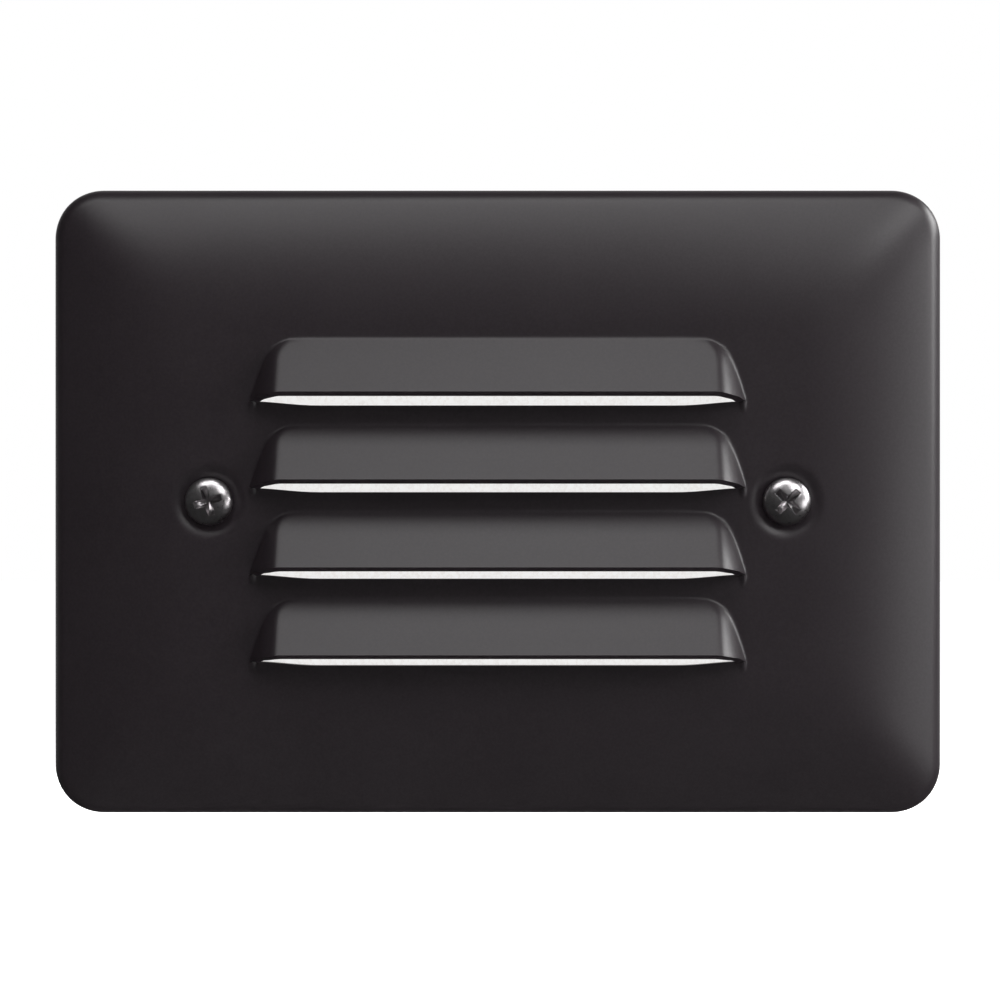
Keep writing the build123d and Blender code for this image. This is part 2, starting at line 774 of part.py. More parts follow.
# ---- Terminal block ----
with BuildPart() as terminal_block:
    with BuildSketch(front(-block_back)):
        with Locations((block_x, 0)):
            Rectangle(block_width, block_height)
    extrude(amount=block_depth)
    fillet(terminal_block.edges().filter_by(Axis.Y), block_edge_radius)
    with BuildSketch(Plane.XY.offset(-block_height / 2)):
        with Locations((poles[0], tube_y), (poles[1], tube_y)):
            Circle(block_entry_radius)
    extrude(amount=block_height, mode=Mode.SUBTRACT)
    with BuildSketch(Plane.XY.offset(-tube_length / 2)):
        with Locations((poles[0], tube_y), (poles[1], tube_y)):
            Circle(tube_outer_radius)
    extrude(amount=tube_length, mode=Mode.SUBTRACT)
    with BuildSketch(front(-block_front)):
        with Locations((block_x, 0)):
            with GridLocations(block_pitch, 2 * clamp_screw_z, 2, 2):
                Circle(clamp_well_radius)
    extrude(amount=-block_tube_depth, mode=Mode.SUBTRACT)
    with BuildSketch(front(-block_front)):
        with Locations((block_x, 0)):
            Circle(block_well_radius)
    extrude(amount=-block_screw_below, mode=Mode.SUBTRACT)
    with BuildSketch(front(-block_front)):
        with Locations((block_x, 0)):
            Circle(small_screw_radius + screw_hole_clearance)
    extrude(amount=-block_depth, mode=Mode.SUBTRACT)
terminal_block.part.label = "terminal_block"
export_step(terminal_block.part, "parts/terminal_block.step")

with BuildPart() as terminal_tubes:
    with BuildSketch(Plane.XY.offset(-tube_length / 2)):
        with Locations((poles[0], tube_y), (poles[1], tube_y)):
            Circle(tube_outer_radius)
            Circle(tube_bore_radius, mode=Mode.SUBTRACT)
    extrude(amount=tube_length)
    with BuildSketch(front(-block_front)):
        with Locations((block_x, 0)):
            with GridLocations(block_pitch, 2 * clamp_screw_z, 2, 2):
                Circle(clamp_screw_radius)
    extrude(amount=-block_tube_depth, mode=Mode.SUBTRACT)
terminal_tubes.part.label = "terminal_tubes"
export_step(terminal_tubes.part, "parts/terminal_tubes.step")

with BuildPart() as terminal_screws:
    with BuildSketch(front(-block_front - clamp_screw_below)):
        with Locations((block_x, 0)):
            with GridLocations(block_pitch, 2 * clamp_screw_z, 2, 2):
                Circle(clamp_screw_radius)
    extrude(amount=-(block_tube_depth - clamp_screw_below - lead_radius))
    with BuildSketch(front(-block_front - clamp_screw_below)):
        with Locations((block_x, 0)):
            with GridLocations(block_pitch, 2 * clamp_screw_z, 2, 2):
                Rectangle(2 * clamp_screw_radius, clamp_slot_width)
    extrude(amount=-clamp_slot_depth, mode=Mode.SUBTRACT)
terminal_screws.part.label = "terminal_screws"
export_step(terminal_screws.part, "parts/terminal_screws.step")

terminal_fixing_screw = small_screws(
    [(block_x, block_front + block_screw_below, 0)], block_screw_length
)
terminal_fixing_screw.part.label = "terminal_fixing_screw"
export_step(terminal_fixing_screw.part, "parts/terminal_fixing_screw.step")


# ---- Leads from the lampholder to the terminal block ----
def lead(route):
    """An insulated lead along straight runs joined by the largest tangent arcs they allow."""
    radii = []
    for before, corner, after in zip(route, route[1:], route[2:]):
        run_in = Vector(*corner) - Vector(*before)
        run_out = Vector(*after) - Vector(*corner)
        half_turn = radians(run_in.get_angle(run_out)) / 2
        radii.append(arc_share * min(run_in.length, run_out.length) / tan(half_turn))
    print("lead arcs", [round(radius, 1) for radius in radii])
    with BuildPart() as wire:
        with BuildLine() as path:
            FilletPolyline(*route, radius=radii)
        with BuildSketch(Plane(path.line @ 0, z_dir=path.line % 0)):
            Circle(lead_radius)
        sweep()
    return wire


clip_lead_y = inner_depth - clip_wall - clip_gap - lead_radius
lead_end_z = tube_length / 2 - lead_strip_in
lower_clip_z = clip_z - clip_lead_pitch / 2
upper_clip_z = clip_z + clip_lead_pitch / 2
lower_lead = lead(
    [
        (holder_back, lamp_y - contact_offset, 0),
        (bracket_x - 8.0, lamp_y - contact_offset, 0),
        (bracket_x - 12.8, lamp_y + 4.6, 4.6),
        (bracket_x - 12.0, clip_lead_y - 9.4, 12.0),
        (bracket_x - 4.0, clip_lead_y - 2.6, 15.6),
        (clip_x - 29.0, clip_lead_y - 0.6, 14.8),
        (clip_x - 14.0, clip_lead_y, lower_clip_z),
        (clip_x + 14.0, clip_lead_y, lower_clip_z),
        (poles[0] - 12.8, clip_lead_y - 0.1, 14.6),
        (poles[1] - 15.1, clip_lead_y, 18.2),
        (poles[1] - 12.0, clip_lead_y - 0.1, 26.0),
        (poles[1] - 8.5, clip_lead_y - 0.4, 30.0),
        (poles[1] - 3.5, clip_lead_y - 1.8, 30.0),
        (poles[1] + 0.1, tube_y + 1.7, 25.8),
        (poles[1] + 0.1, tube_y + 0.3, 17.0),
        (poles[1], tube_y, lead_end_z),
    ]
)
lower_lead.part.label = "lower_lead"
export_step(lower_lead.part, "parts/lower_lead.step")

upper_lead = lead(
    [
        (holder_back, lamp_y + contact_offset, 0),
        (bracket_x - 5.4, lamp_y + contact_offset, 0),
        (bracket_x - 9.4, lamp_y + 5.4, 4.6),
        (bracket_x - 8.8, clip_lead_y - 10.6, 12.4),
        (bracket_x - 2.0, clip_lead_y - 4.6, 17.2),
        (clip_x - 28.0, clip_lead_y - 1.6, 18.2),
        (clip_x - 14.0, clip_lead_y, upper_clip_z),
        (clip_x + 14.0, clip_lead_y, upper_clip_z),
        (poles[0] - 16.3, clip_lead_y - 0.4, 18.6),
        (poles[0] - 11.7, clip_lead_y - 1.2, 24.4),
        (poles[0] - 8.1, clip_lead_y - 1.8, 28.6),
        (poles[0] - 3.3, clip_lead_y - 2.8, 28.6),
        (poles[0] + 0.1, tube_y + 1.3, 24.2),
        (poles[0] + 0.1, tube_y + 0.4, 16.0),
        (poles[0], tube_y, lead_end_z),
    ]
)
upper_lead.part.label = "upper_lead"
export_step(upper_lead.part, "parts/upper_lead.step")

clip_channel_depth = 2 * (lead_radius + clip_gap)
clip_channel_width = clip_lead_pitch + 2 * (lead_radius + clip_gap)
with BuildPart() as lead_clip:
    with BuildSketch(front(-inner_depth)):
        with Locations((clip_x, clip_z)):
            Rectangle(clip_width, clip_pad_width)
    extrude(amount=clip_wall)
    with BuildSketch(front(clip_wall - inner_depth)):
        with Locations((clip_x, clip_z)):
            Rectangle(clip_width, clip_channel_width + 2 * clip_wall)
    extrude(amount=clip_channel_depth + clip_wall)
    fillet(lead_clip.edges().filter_by(Axis.X).group_by(Axis.Y)[0], clip_wall)
    with BuildSketch(front(clip_wall - inner_depth)):
        with Locations((clip_x, clip_z)):
            Rectangle(clip_width, clip_channel_width)
    extrude(amount=clip_channel_depth, mode=Mode.SUBTRACT)
lead_clip.part.label = "lead_clip"
export_step(lead_clip.part, "parts/lead_clip.step")


# ---- Cable gland ----
def entry_level(x, z):
    """A level drawing plane on the axis of the entry at this x."""
    return Plane((x, entry_y, z))


collar_top = entry_outside - gland_washer_thickness
collar_bottom = collar_top - gland_collar_height
stub_bottom = collar_bottom - gland_stub_length
with BuildPart() as gland_body:
    with BuildSketch(entry_level(entry_x, stub_bottom)):
        Circle(entry_radius)
    extrude(amount=entry_inside + gland_inner_stub - stub_bottom)
    with BuildSketch(entry_level(entry_x, collar_bottom)):
        RegularPolygon(gland_collar_flats / 2, 6, major_radius=False)
    extrude(amount=gland_collar_height)
    with BuildSketch(entry_level(entry_x, stub_bottom)):
        Circle(gland_bore_radius)
    extrude(amount=entry_inside + gland_inner_stub - stub_bottom, mode=Mode.SUBTRACT)
gland_body.part.label = "gland_body"
export_step(gland_body.part, "parts/gland_body.step")

for piece, x in (("gland_washer", entry_x), ("closure_washer", -entry_x)):
    with BuildPart() as entry_washer:
        with BuildSketch(entry_level(x, collar_top)):
            Circle(gland_washer_radius)
            Circle(entry_radius, mode=Mode.SUBTRACT)
        extrude(amount=gland_washer_thickness)
    entry_washer.part.label = piece
    export_step(entry_washer.part, "parts/" + piece + ".step")

with BuildPart() as gland_locknut:
    with BuildSketch(entry_level(entry_x, entry_inside)):
        RegularPolygon(locknut_flats / 2, 6, major_radius=False)
        Circle(entry_radius, mode=Mode.SUBTRACT)
    extrude(amount=locknut_height)
gland_locknut.part.label = "gland_locknut"
export_step(gland_locknut.part, "parts/gland_locknut.step")

bush_bottom = stub_bottom - bush_flange_height
with BuildPart() as gland_bush:
    with BuildSketch(entry_level(entry_x, bush_bottom)):
        Circle(bush_flange_radius)
    extrude(amount=bush_flange_height)
    with BuildSketch(entry_level(entry_x, stub_bottom)):
        Circle(gland_bore_radius)
    extrude(amount=bush_length - bush_flange_height)
    with BuildSketch(entry_level(entry_x, bush_bottom)):
        Circle(bush_bore_radius)
    extrude(amount=bush_length, mode=Mode.SUBTRACT)
gland_bush.part.label = "gland_bush"
export_step(gland_bush.part, "parts/gland_bush.step")

cap_top = collar_bottom - cap_collar_gap
cap_bottom = bush_bottom - cap_end_wall
with BuildPart() as gland_cap:
    with BuildSketch(entry_level(entry_x, cap_bottom)):
        Circle(cap_radius)
    extrude(amount=cap_top - cap_bottom)
    chamfer(gland_cap.edges().group_by(Axis.Z)[0], cap_edge)
    with BuildSketch(entry_level(entry_x, cap_bottom)):
        with PolarLocations(cap_radius + cap_grip_radius - cap_grip_depth, cap_grip_count):
            Circle(cap_grip_radius)
    extrude(amount=cap_top - cap_bottom, mode=Mode.SUBTRACT)
    with BuildSketch(entry_level(entry_x, bush_bottom)):
        Circle(entry_radius)
    extrude(amount=cap_top - bush_bottom, mode=Mode.SUBTRACT)
    with BuildSketch(entry_level(entry_x, cap_bottom)):
        Circle(cap_mouth_radius)
    extrude(amount=cap_end_wall, mode=Mode.SUBTRACT)
gland_cap.part.label = "gland_cap"
export_step(gland_cap.part, "parts/gland_cap.step")

# ---- Closure plug in the unused entry ----
with BuildPart() as closure_plug:
    with BuildSketch(entry_level(-entry_x, collar_top - plug_head_height)):
        Circle(plug_head_radius)
    extrude(amount=plug_head_height)
    chamfer(closure_plug.edges().group_by(Axis.Z)[0], plug_head_edge)
    with BuildSketch(entry_level(-entry_x, collar_top)):
        Circle(entry_radius)
    extrude(amount=plug_length)
    with BuildSketch(entry_level(-entry_x, collar_top)):
        Circle(plug_hollow_radius)
    extrude(amount=plug_length, mode=Mode.SUBTRACT)
    with BuildSketch(entry_level(-entry_x, collar_top - plug_head_height)):
        Rectangle(2 * plug_head_radius, plug_slot_width)
    extrude(amount=plug_slot_depth, mode=Mode.SUBTRACT)
closure_plug.part.label = "closure_plug"
export_step(closure_plug.part, "parts/closure_plug.step")
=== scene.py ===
"""Recessed step light: the finish of every piece, around the packed frame.

Metres throughout. The wall is the XZ plane, the front faces -Y and +Z is up.
"""

import json
from math import cos, pi, radians, sin, tan

import bmesh
import bpy
from bpy.props import FloatProperty, FloatVectorProperty, IntProperty, PointerProperty
from mathutils import Matrix, Vector


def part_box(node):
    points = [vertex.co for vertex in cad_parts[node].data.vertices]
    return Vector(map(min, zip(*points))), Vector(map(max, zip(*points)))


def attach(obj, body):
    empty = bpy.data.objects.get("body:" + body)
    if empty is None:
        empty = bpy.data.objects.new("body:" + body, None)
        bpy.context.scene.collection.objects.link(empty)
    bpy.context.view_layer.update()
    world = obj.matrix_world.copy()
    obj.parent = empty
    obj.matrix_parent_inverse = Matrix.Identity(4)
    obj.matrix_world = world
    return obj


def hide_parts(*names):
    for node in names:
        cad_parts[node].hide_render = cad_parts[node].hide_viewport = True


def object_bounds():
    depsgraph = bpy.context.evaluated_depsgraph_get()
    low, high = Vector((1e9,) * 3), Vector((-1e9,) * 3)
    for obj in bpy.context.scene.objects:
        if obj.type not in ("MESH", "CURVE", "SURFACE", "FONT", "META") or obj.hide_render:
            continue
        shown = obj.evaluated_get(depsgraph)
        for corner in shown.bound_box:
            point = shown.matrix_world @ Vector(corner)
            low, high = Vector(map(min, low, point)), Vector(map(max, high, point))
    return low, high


bl_info = {
    "name": "Step light",
    "version": (1, 0, 0),
    "blender": (4, 5, 0),
    "location": "3D View > Sidebar > Step light",
    "description": "Dresses a recessed step light around its frame",
    "category": "Object",
}

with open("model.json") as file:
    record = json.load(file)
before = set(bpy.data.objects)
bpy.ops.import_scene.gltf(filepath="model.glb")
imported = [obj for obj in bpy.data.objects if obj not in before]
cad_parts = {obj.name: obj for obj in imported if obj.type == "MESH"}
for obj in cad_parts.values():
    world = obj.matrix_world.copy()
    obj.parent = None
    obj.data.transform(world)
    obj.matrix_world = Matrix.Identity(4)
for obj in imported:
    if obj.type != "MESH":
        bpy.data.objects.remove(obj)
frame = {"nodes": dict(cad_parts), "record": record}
NODES = frame["nodes"]
CAD_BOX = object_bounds()
SLOT_OF = {part["node"]: part["material_slot"] for part in frame["record"]["subparts"]}
BODY_OF = {
    node: body
    for body, nodes in frame["record"]["behaviour"]["bodies"].items()
    for node in nodes
}
MM = 0.001


# ---- Sums on sockets, and the node trees that they build ----
class Term:
    """A value in a node tree. Arithmetic on it adds the tree's own Math nodes."""

    def __init__(self, graph, socket):
        self.graph = graph
        self.socket = socket

    def sum(self, operation, *values):
        return self.graph.node("ShaderNodeMath", {"operation": operation}, *values)

    def __add__(self, other):
        return self.sum("ADD", self, other)

    __radd__ = __add__

    def __sub__(self, other):
        return self.sum("SUBTRACT", self, other)

    def __rsub__(self, other):
        return self.sum("SUBTRACT", other, self)

    def __mul__(self, other):
        return self.sum("MULTIPLY", self, other)

    __rmul__ = __mul__

    def __truediv__(self, other):
        return self.sum("DIVIDE", self, other)

    def __pow__(self, other):
        return self.sum("POWER", self, other)

    def __abs__(self):
        return self.sum("ABSOLUTE", self)

    def root(self):
        return self.sum("SQRT", self)

    def floor(self):
        return self.sum("FLOOR", self)

    def least(self, other, blend=None):
        if blend is None:
            return self.sum("MINIMUM", self, other)
        return self.sum("SMOOTH_MIN", self, other, blend)

    def most(self, other, blend=None):
        if blend is None:
            return self.sum("MAXIMUM", self, other)
        return self.sum("SMOOTH_MAX", self, other, blend)

    def above(self, other):
        return self.sum("GREATER_THAN", self, other)

    def ramp(self, start, end):
        """0 before start, 1 after end and a smooth step between them."""
        settings = {"interpolation_type": "SMOOTHSTEP"}
        return self.graph.node("ShaderNodeMapRange", settings, self, start, end)

    def fade(self, start, end):
        """1 before start, 0 after end and a smooth step between them."""
        return 1 - self.ramp(start, end)


class Graph:
    """A node tree that grows by one method, which takes a node's type, settings and values."""

    def __init__(self, tree):
        self.tree = tree

    def node(self, kind, settings=None, *values, out=(), **named):
        """Adds a node, whose shown inputs take the values in order, and named ones by name.

        It gives back the first shown output, or the one or ones whose names are in out.
        """
        node = self.tree.nodes.new(kind)
        for key, value in (settings or {}).items():
            setattr(node, key, value)
        shown = [socket for socket in node.inputs if socket.enabled]
        for socket, value in zip(shown, values):
            self.feed(socket, value)
        for name, value in named.items():
            self.feed(self.find(node, name), value)
        if isinstance(out, str):
            return Term(self, node.outputs[out])
        if out:
            return [Term(self, node.outputs[name]) for name in out]
        shown = [socket for socket in node.outputs if socket.enabled]
        return Term(self, shown[0]) if shown else None

    @staticmethod
    def find(node, name):
        """The input whose name has these words, such as Base_Color for Base Color."""
        wanted = name.replace("_", " ")
        return next(s for s in node.inputs if s.enabled and s.name == wanted)

    def feed(self, socket, value):
        if isinstance(value, Term):
            self.tree.links.new(value.socket, socket)
        else:
            socket.default_value = value


def srgb(red, green, blue):
    """A colour written in 0 to 255, as the tree's linear RGBA."""
    def linear(value):
        share = value / 255
        return share / 12.92 if share <= 0.04045 else ((share + 0.055) / 1.055) ** 2.4

    return (linear(red), linear(green), linear(blue), 1)


class Finish(Graph):
    """A material's tree, with its Object coordinates and Principled shader at hand."""

    def __init__(self, name):
        self.material = bpy.data.materials.new(name)
        self.material.use_nodes = True
        super().__init__(self.material.node_tree)
        self.tree.nodes.clear()
        self.place = self.node("ShaderNodeTexCoord", out="Object")

    def stretched(self, scale):
        return self.node("ShaderNodeMapping", None, self.place, Scale=scale)

    def noise(self, scale, detail=3.0, roughness=0.55, at=None):
        return self.node(
            "ShaderNodeTexNoise", None, Vector=at or self.place, Scale=scale,
            Detail=detail, Roughness=roughness,
        )

    def cells(self, scale):
        return self.node("ShaderNodeTexVoronoi", None, Vector=self.place, Scale=scale)

    def mix(self, share, first, second):
        settings = {"data_type": "RGBA"}
        return self.node("ShaderNodeMix", settings, share, first, second)

    def bump(self, height, distance, strength):
        return self.node(
            "ShaderNodeBump", None, Strength=strength, Distance=distance, Height=height
        )

    def done(self, shader):
        self.node("ShaderNodeOutputMaterial", None, Surface=shader)
        return self.material

    def surface(self, **values):
        """Ends the tree in one Principled shader with these values."""
        return self.done(self.node("ShaderNodeBsdfPrincipled", None, **values))


class Recipe(Graph):
    """A Geometry Nodes tree with named inputs, which are its attributes as well."""

    KINDS = {
        float: "Float",
        int: "Int",
        bpy.types.Object: "Object",
        bpy.types.Material: "Material",
    }

    def __init__(self, name, **sizes):
        super().__init__(bpy.data.node_groups.new(name, "GeometryNodeTree"))
        face = self.tree.interface
        for way in ("INPUT", "OUTPUT"):
            face.new_socket(name="Geometry", in_out=way, socket_type="NodeSocketGeometry")
        titles = [name.replace("_", " ").capitalize() for name in sizes]
        self.sizes = sizes
        self.sockets = [
            face.new_socket(
                name=title, in_out="INPUT", socket_type="NodeSocket" + self.KINDS[type(value)]
            )
            for title, value in zip(titles, sizes.values())
        ]
        inputs = self.node("NodeGroupInput", out=("Geometry", *titles))
        for name, term in zip(("geometry", *sizes), inputs):
            setattr(self, name, term)

    def done(self, geometry, material):
        solid = self.node("GeometryNodeRealizeInstances", None, geometry)
        coated = self.node("GeometryNodeSetMaterial", None, solid, Material=material)
        self.node("NodeGroupOutput", None, coated)
        return self

    def apply(self, target):
        """Runs the tree on the object and leaves a plain mesh under the same name."""
        step = target.modifiers.new(self.tree.name, "NODES")
        step.node_group = self.tree
        for socket, value in zip(self.sockets, self.sizes.values()):
            step[socket.identifier] = value
        return settle(target)


# ---- Meshes ----
# Lengths under this count as none.
TINY = 1e-9
# Points closer than this are one point.
JOINED = 1e-6
# Faces that turn by fewer degrees than this are one flat face.
FLAT_ANGLE = 0.6


def linked(name, data):
    """A new object in the scene, with this mesh, lamp or camera."""
    piece = bpy.data.objects.new(name, data)
    bpy.context.scene.collection.objects.link(piece)
    return piece


def settle(piece):
    """Turns the object with its modifiers into a plain mesh."""
    depsgraph = bpy.context.evaluated_depsgraph_get()
    mesh = bpy.data.meshes.new_from_object(piece.evaluated_get(depsgraph))
    old = piece.data
    piece.modifiers.clear()
    piece.data = mesh
    mesh.name = piece.name
    if old.users == 0 and isinstance(old, bpy.types.Mesh):
        bpy.data.meshes.remove(old)
    return piece


def modified(piece, kind, **settings):
    """Adds one modifier with these settings."""
    step = piece.modifiers.new(kind.title(), kind)
    for name, value in settings.items():
        setattr(step, name, value)
    return piece


def from_bmesh(name, shape, clean=True):
    """An object from a bmesh, with its doubles merged and its faces turned outwards."""
    if clean:
        bmesh.ops.remove_doubles(shape, verts=shape.verts, dist=1e-7)
        bmesh.ops.recalc_face_normals(shape, faces=shape.faces)
    mesh = bpy.data.meshes.new(name)
    shape.to_mesh(mesh)
    shape.free()
    return linked(name, mesh)


def smooth(piece, angle=32):
    piece.data.shade_smooth()
    piece.data.set_sharp_from_angle(angle=radians(angle))
    return piece


def facing(axis):
    """The turn that takes +Z to this axis."""
    return Vector((0, 0, 1)).rotation_difference(Vector(axis)).to_matrix()


def join_rings(shape, ring, following):
    """Adds the faces between two rings of points. A pole is a ring of one point repeated."""
    for place in range(len(ring)):
        after = (place + 1) % len(ring)
        corners = [ring[place], ring[after], following[after], following[place]]
        corners = list(dict.fromkeys(corners))
        if len(corners) > 2:
            shape.faces.new(corners)


def lathe(shape, profile, seat, axis, sides):
    """Adds a turned solid: profile is (radius, height) pairs along the axis from the seat."""
    turn = facing(axis)

    def point(radius, height, side):
        angle = 2 * pi * side / sides
        spot = Vector((radius * cos(angle), radius * sin(angle), height))
        return shape.verts.new(Vector(seat) + turn @ spot)

    rings = [
        [point(radius, height, side) for side in range(sides)]
        if radius > TINY
        else [point(0, height, 0)] * sides
        for radius, height in profile
    ]
    for ring, following in zip(rings, rings[1:]):
        join_rings(shape, ring, following)


def coated(mesh, slot):
    """Gives a mesh the finish of this slot and no other."""
    mesh.materials.clear()
    mesh.materials.append(FINISHES[slot])


def dressed(piece, node):
    """Gives a new piece the finish and the body of the frame node that it stands for."""
    coated(piece.data, SLOT_OF[node])
    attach(piece, BODY_OF[node])
    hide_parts(node)


def welded(node):
    """The shape of a frame node with its loose triangles joined up."""
    shape = bmesh.new()
    shape.from_mesh(NODES[node].data)
    bmesh.ops.remove_doubles(shape, verts=shape.verts, dist=JOINED)
    return shape


def rounded(piece, width, angle):
    """Rounds off the edges that turn by more than this angle."""
    modified(
        piece, "BEVEL", width=width, segments=2, limit_method="ANGLE",
        angle_limit=radians(angle), use_clamp_overlap=True,
    )
    return smooth(settle(piece))


def softened(node, width):
    """A copy of a frame node with its sharp edges rounded off by this width."""
    shape = welded(node)
    bmesh.ops.dissolve_limit(
        shape, angle_limit=radians(FLAT_ANGLE), verts=shape.verts, edges=shape.edges
    )
    piece = rounded(from_bmesh(node + "_dressed", shape, clean=False), width, angle=35)
    return settle(modified(piece, "WEIGHTED_NORMAL", keep_sharp=True, weight=100))


# ---- Sizes a user would change ----
def length(name, description, default):
    return FloatProperty(
        name=name, description=description, default=default, unit="LENGTH", subtype="DISTANCE"
    )


def colour(name, description, default):
    return FloatVectorProperty(
        name=name, description=description, default=default[:3], size=3, subtype="COLOR",
        min=0, max=1,
    )


PLATE_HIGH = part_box("face_plate")[1]


class PlateSizes(bpy.types.PropertyGroup):
    """The pressed face plate."""

    half_width: length("Half width", "From the middle to an end", PLATE_HIGH.x)
    half_height: length("Half height", "From the middle to the top", PLATE_HIGH.z)
    corner: length("Corner radius", "Radius of the outline's corners", 7.2 * MM)
    sheet: length("Sheet", "Thickness of the sheet", 1.2 * MM)
    plateau: length("Plateau", "Front of the flat middle, ahead of the wall", 9.0 * MM)
    slope_rise: length("Slope rise", "Height of the swelling above the rim's bend", 4.6 * MM)
    slope_width: length("Slope width", "Width of the swelling", 20.5 * MM)
    rim_bend: length("Rim bend", "Radius of the bend at the rim", 1.8 * MM)
    slope_power: FloatProperty(
        name="Slope power", description="How quickly the swelling flattens", default=2.0
    )
    diagonal_blend: length("Diagonal blend", "Softness of the four diagonals", 9.0 * MM)
    stud_radius: length("Stud radius", "Radius of the welded studs", 1.5 * MM)
    stud_stand_out: length("Stud stand-out", "How far a stud shows past its nut", 0.3 * MM)


class LouvreSizes(bpy.types.PropertyGroup):
    """The hooded louvres."""

    count: IntProperty(name="Count", description="Number of louvres", default=4)
    pitch: length("Pitch", "From one louvre to the next", 12.5 * MM)
    top_lip: length("Top lip", "Height of the top louvre's lip", 15.15 * MM)
    height: length("Height", "From a hood's lip to its top", 8.5 * MM)
    face_half_width: length("Face half width", "From the middle to a hood face's end", 31.59 * MM)
    face_corner: length("Face corner", "Radius of a hood face's upper corners", 3.2 * MM)
    end_slope: FloatProperty(
        name="End slope", description="Fall of a hood's ends beside the face", default=0.42
    )
    end_curve: FloatProperty(
        name="End curve", description="How much steeper the ends get, per metre", default=200
    )
    proud: length("Proud", "How far a lip stands ahead of the plateau", 5.0 * MM)
    crease: length("Crease", "Softness of a hood's creases", 0.3 * MM)
    slit_half_length: length("Slit half length", "From the middle to a slit's tip", 36.0 * MM)
    lip_edge: length("Lip edge", "How much of a lip's cut edge shows from the front", 0.5 * MM)
    lip_lift: length("Lip lift", "How far a lip's middle stands above its tips", 0.68 * MM)
    land_sag: length("Land sag", "How far the lower edge sags below the tips", 0.62 * MM)
    tip_draw: length("Tip draw", "How far below a tip the drawn metal reaches", 1.5 * MM)


class ScrewSizes(bpy.types.PropertyGroup):
    """The face screws and the dimples that they sit in."""

    spacing: length("Spacing", "Between the two face screws", 83.34 * MM)
    head_radius: length("Head radius", "Radius of a pan head", 3.43 * MM)
    head_height: length("Head height", "Height of a pan head", 2.1 * MM)
    thread_radius: length("Thread radius", "Outer radius of the thread", 1.75 * MM)
    pitch: length("Thread pitch", "Travel in one turn", 0.79375 * MM)
    left_turn: FloatProperty(
        name="Left turn", description="How far the left cross is turned, in degrees", default=17
    )
    right_turn: FloatProperty(
        name="Right turn", description="How far the right cross is turned, in degrees", default=45
    )
    dimple_radius: length("Dimple radius", "Outer radius of the pressed dimple", 5.6 * MM)
    dimple_depth: length("Dimple depth", "Depth of the pressed dimple", 0.9 * MM)
    seat_radius: length("Seat radius", "Radius of the dimple's flat seat", 2.7 * MM)
    small_radius: length("Small radius", "Outer radius of a small screw's thread", 1.4 * MM)
    small_pitch: length("Small pitch", "Travel of a small screw in one turn", 0.55 * MM)
    small_head_radius: length("Small head radius", "Radius of a small head", 2.6 * MM)
    small_head_height: length("Small head height", "Height of a small head", 1.5 * MM)
    rivet_radius: length("Rivet radius", "Radius of a rivet's shank", 1.2 * MM)
    rivet_head_height: length("Rivet head height", "Height of a rivet's head", 0.8 * MM)


class LampSizes(bpy.types.PropertyGroup):
    """The lamp's filament."""

    filament_wire: length("Filament wire", "Radius of the coiled wire", 0.1 * MM)
    filament_pitch: length("Filament pitch", "From one turn to the next", 0.32 * MM)


class FinishColours(bpy.types.PropertyGroup):
    """Colours of the finishes."""

    bronze: colour("Bronze coat", "Baked satin coat of the face plate", srgb(34, 28, 32))
    bronze_light: colour("Bronze fleck", "Lighter grain of the coat", srgb(42, 36, 40))
    # the lens colour is the colour of its painted glow, which stands in for the lamp's light
    lens: colour("Lens", "Frosted lens", srgb(240, 238, 236))


SETTINGS = {
    "step_light_plate": PlateSizes,
    "step_light_louvres": LouvreSizes,
    "step_light_screws": ScrewSizes,
    "step_light_lamp": LampSizes,
    "step_light_colours": FinishColours,
}


# ---- Finishes, whose makers are told the slot's name ----
def bronze_coat(slot):
    """Dark satin baked coat with a fine, faint orange peel."""
    colours = bpy.context.scene.step_light_colours
    finish = Finish(slot)
    cloud = finish.noise(90, detail=2)
    grain = finish.noise(2600, detail=4, roughness=0.6)
    peel = finish.noise(1500, detail=2, roughness=0.5)
    tone = (grain * 0.85 + cloud * 0.15).ramp(0.3, 0.7)
    return finish.surface(
        Base_Color=finish.mix(tone, (*colours.bronze, 1), (*colours.bronze_light, 1)),
        Roughness=0.38 + 0.03 * cloud,
        IOR=1.5,
        Normal=finish.bump(peel * 0.7 + grain * 0.3, 0.012 * MM, 0.6),
    )


def metal(slot, tint, roughness, stretch=(300, 300, 300), grain=0.12):
    """A bare or plated metal, drawn along the axis where its grain is stretched least."""
    finish = Finish(slot)
    streaks = finish.noise(6, detail=4, roughness=0.6, at=finish.stretched(stretch))
    cloud = finish.noise(160)
    dark = (*(0.72 * value for value in tint[:3]), 1)
    return finish.surface(
        Base_Color=finish.mix((cloud * 0.6 + streaks * 0.4).ramp(0.35, 0.7), dark, tint),
        Metallic=1.0,
        Roughness=roughness + grain * (streaks - 0.5) + 0.05 * (cloud - 0.5),
        Normal=finish.bump(streaks, 0.004 * MM, 0.5),
    )


def cast_metal(slot):
    """Die-cast aluminium with a grey coat over its sandy skin."""
    finish = Finish(slot)
    sand = finish.noise(1400, detail=5, roughness=0.65)
    cloud = finish.noise(70)
    pits = finish.cells(900).ramp(0.05, 0.35)
    shade = (sand * 0.8 + cloud * 0.2).ramp(0.33, 0.68)
    return finish.surface(
        Base_Color=finish.mix(shade, srgb(108, 110, 112), srgb(146, 148, 150)),
        Metallic=0.75,
        Roughness=0.5 + 0.16 * (sand - 0.5),
        Normal=finish.bump(sand * 0.75 + pits * 0.25, 0.05 * MM, 0.6),
    )


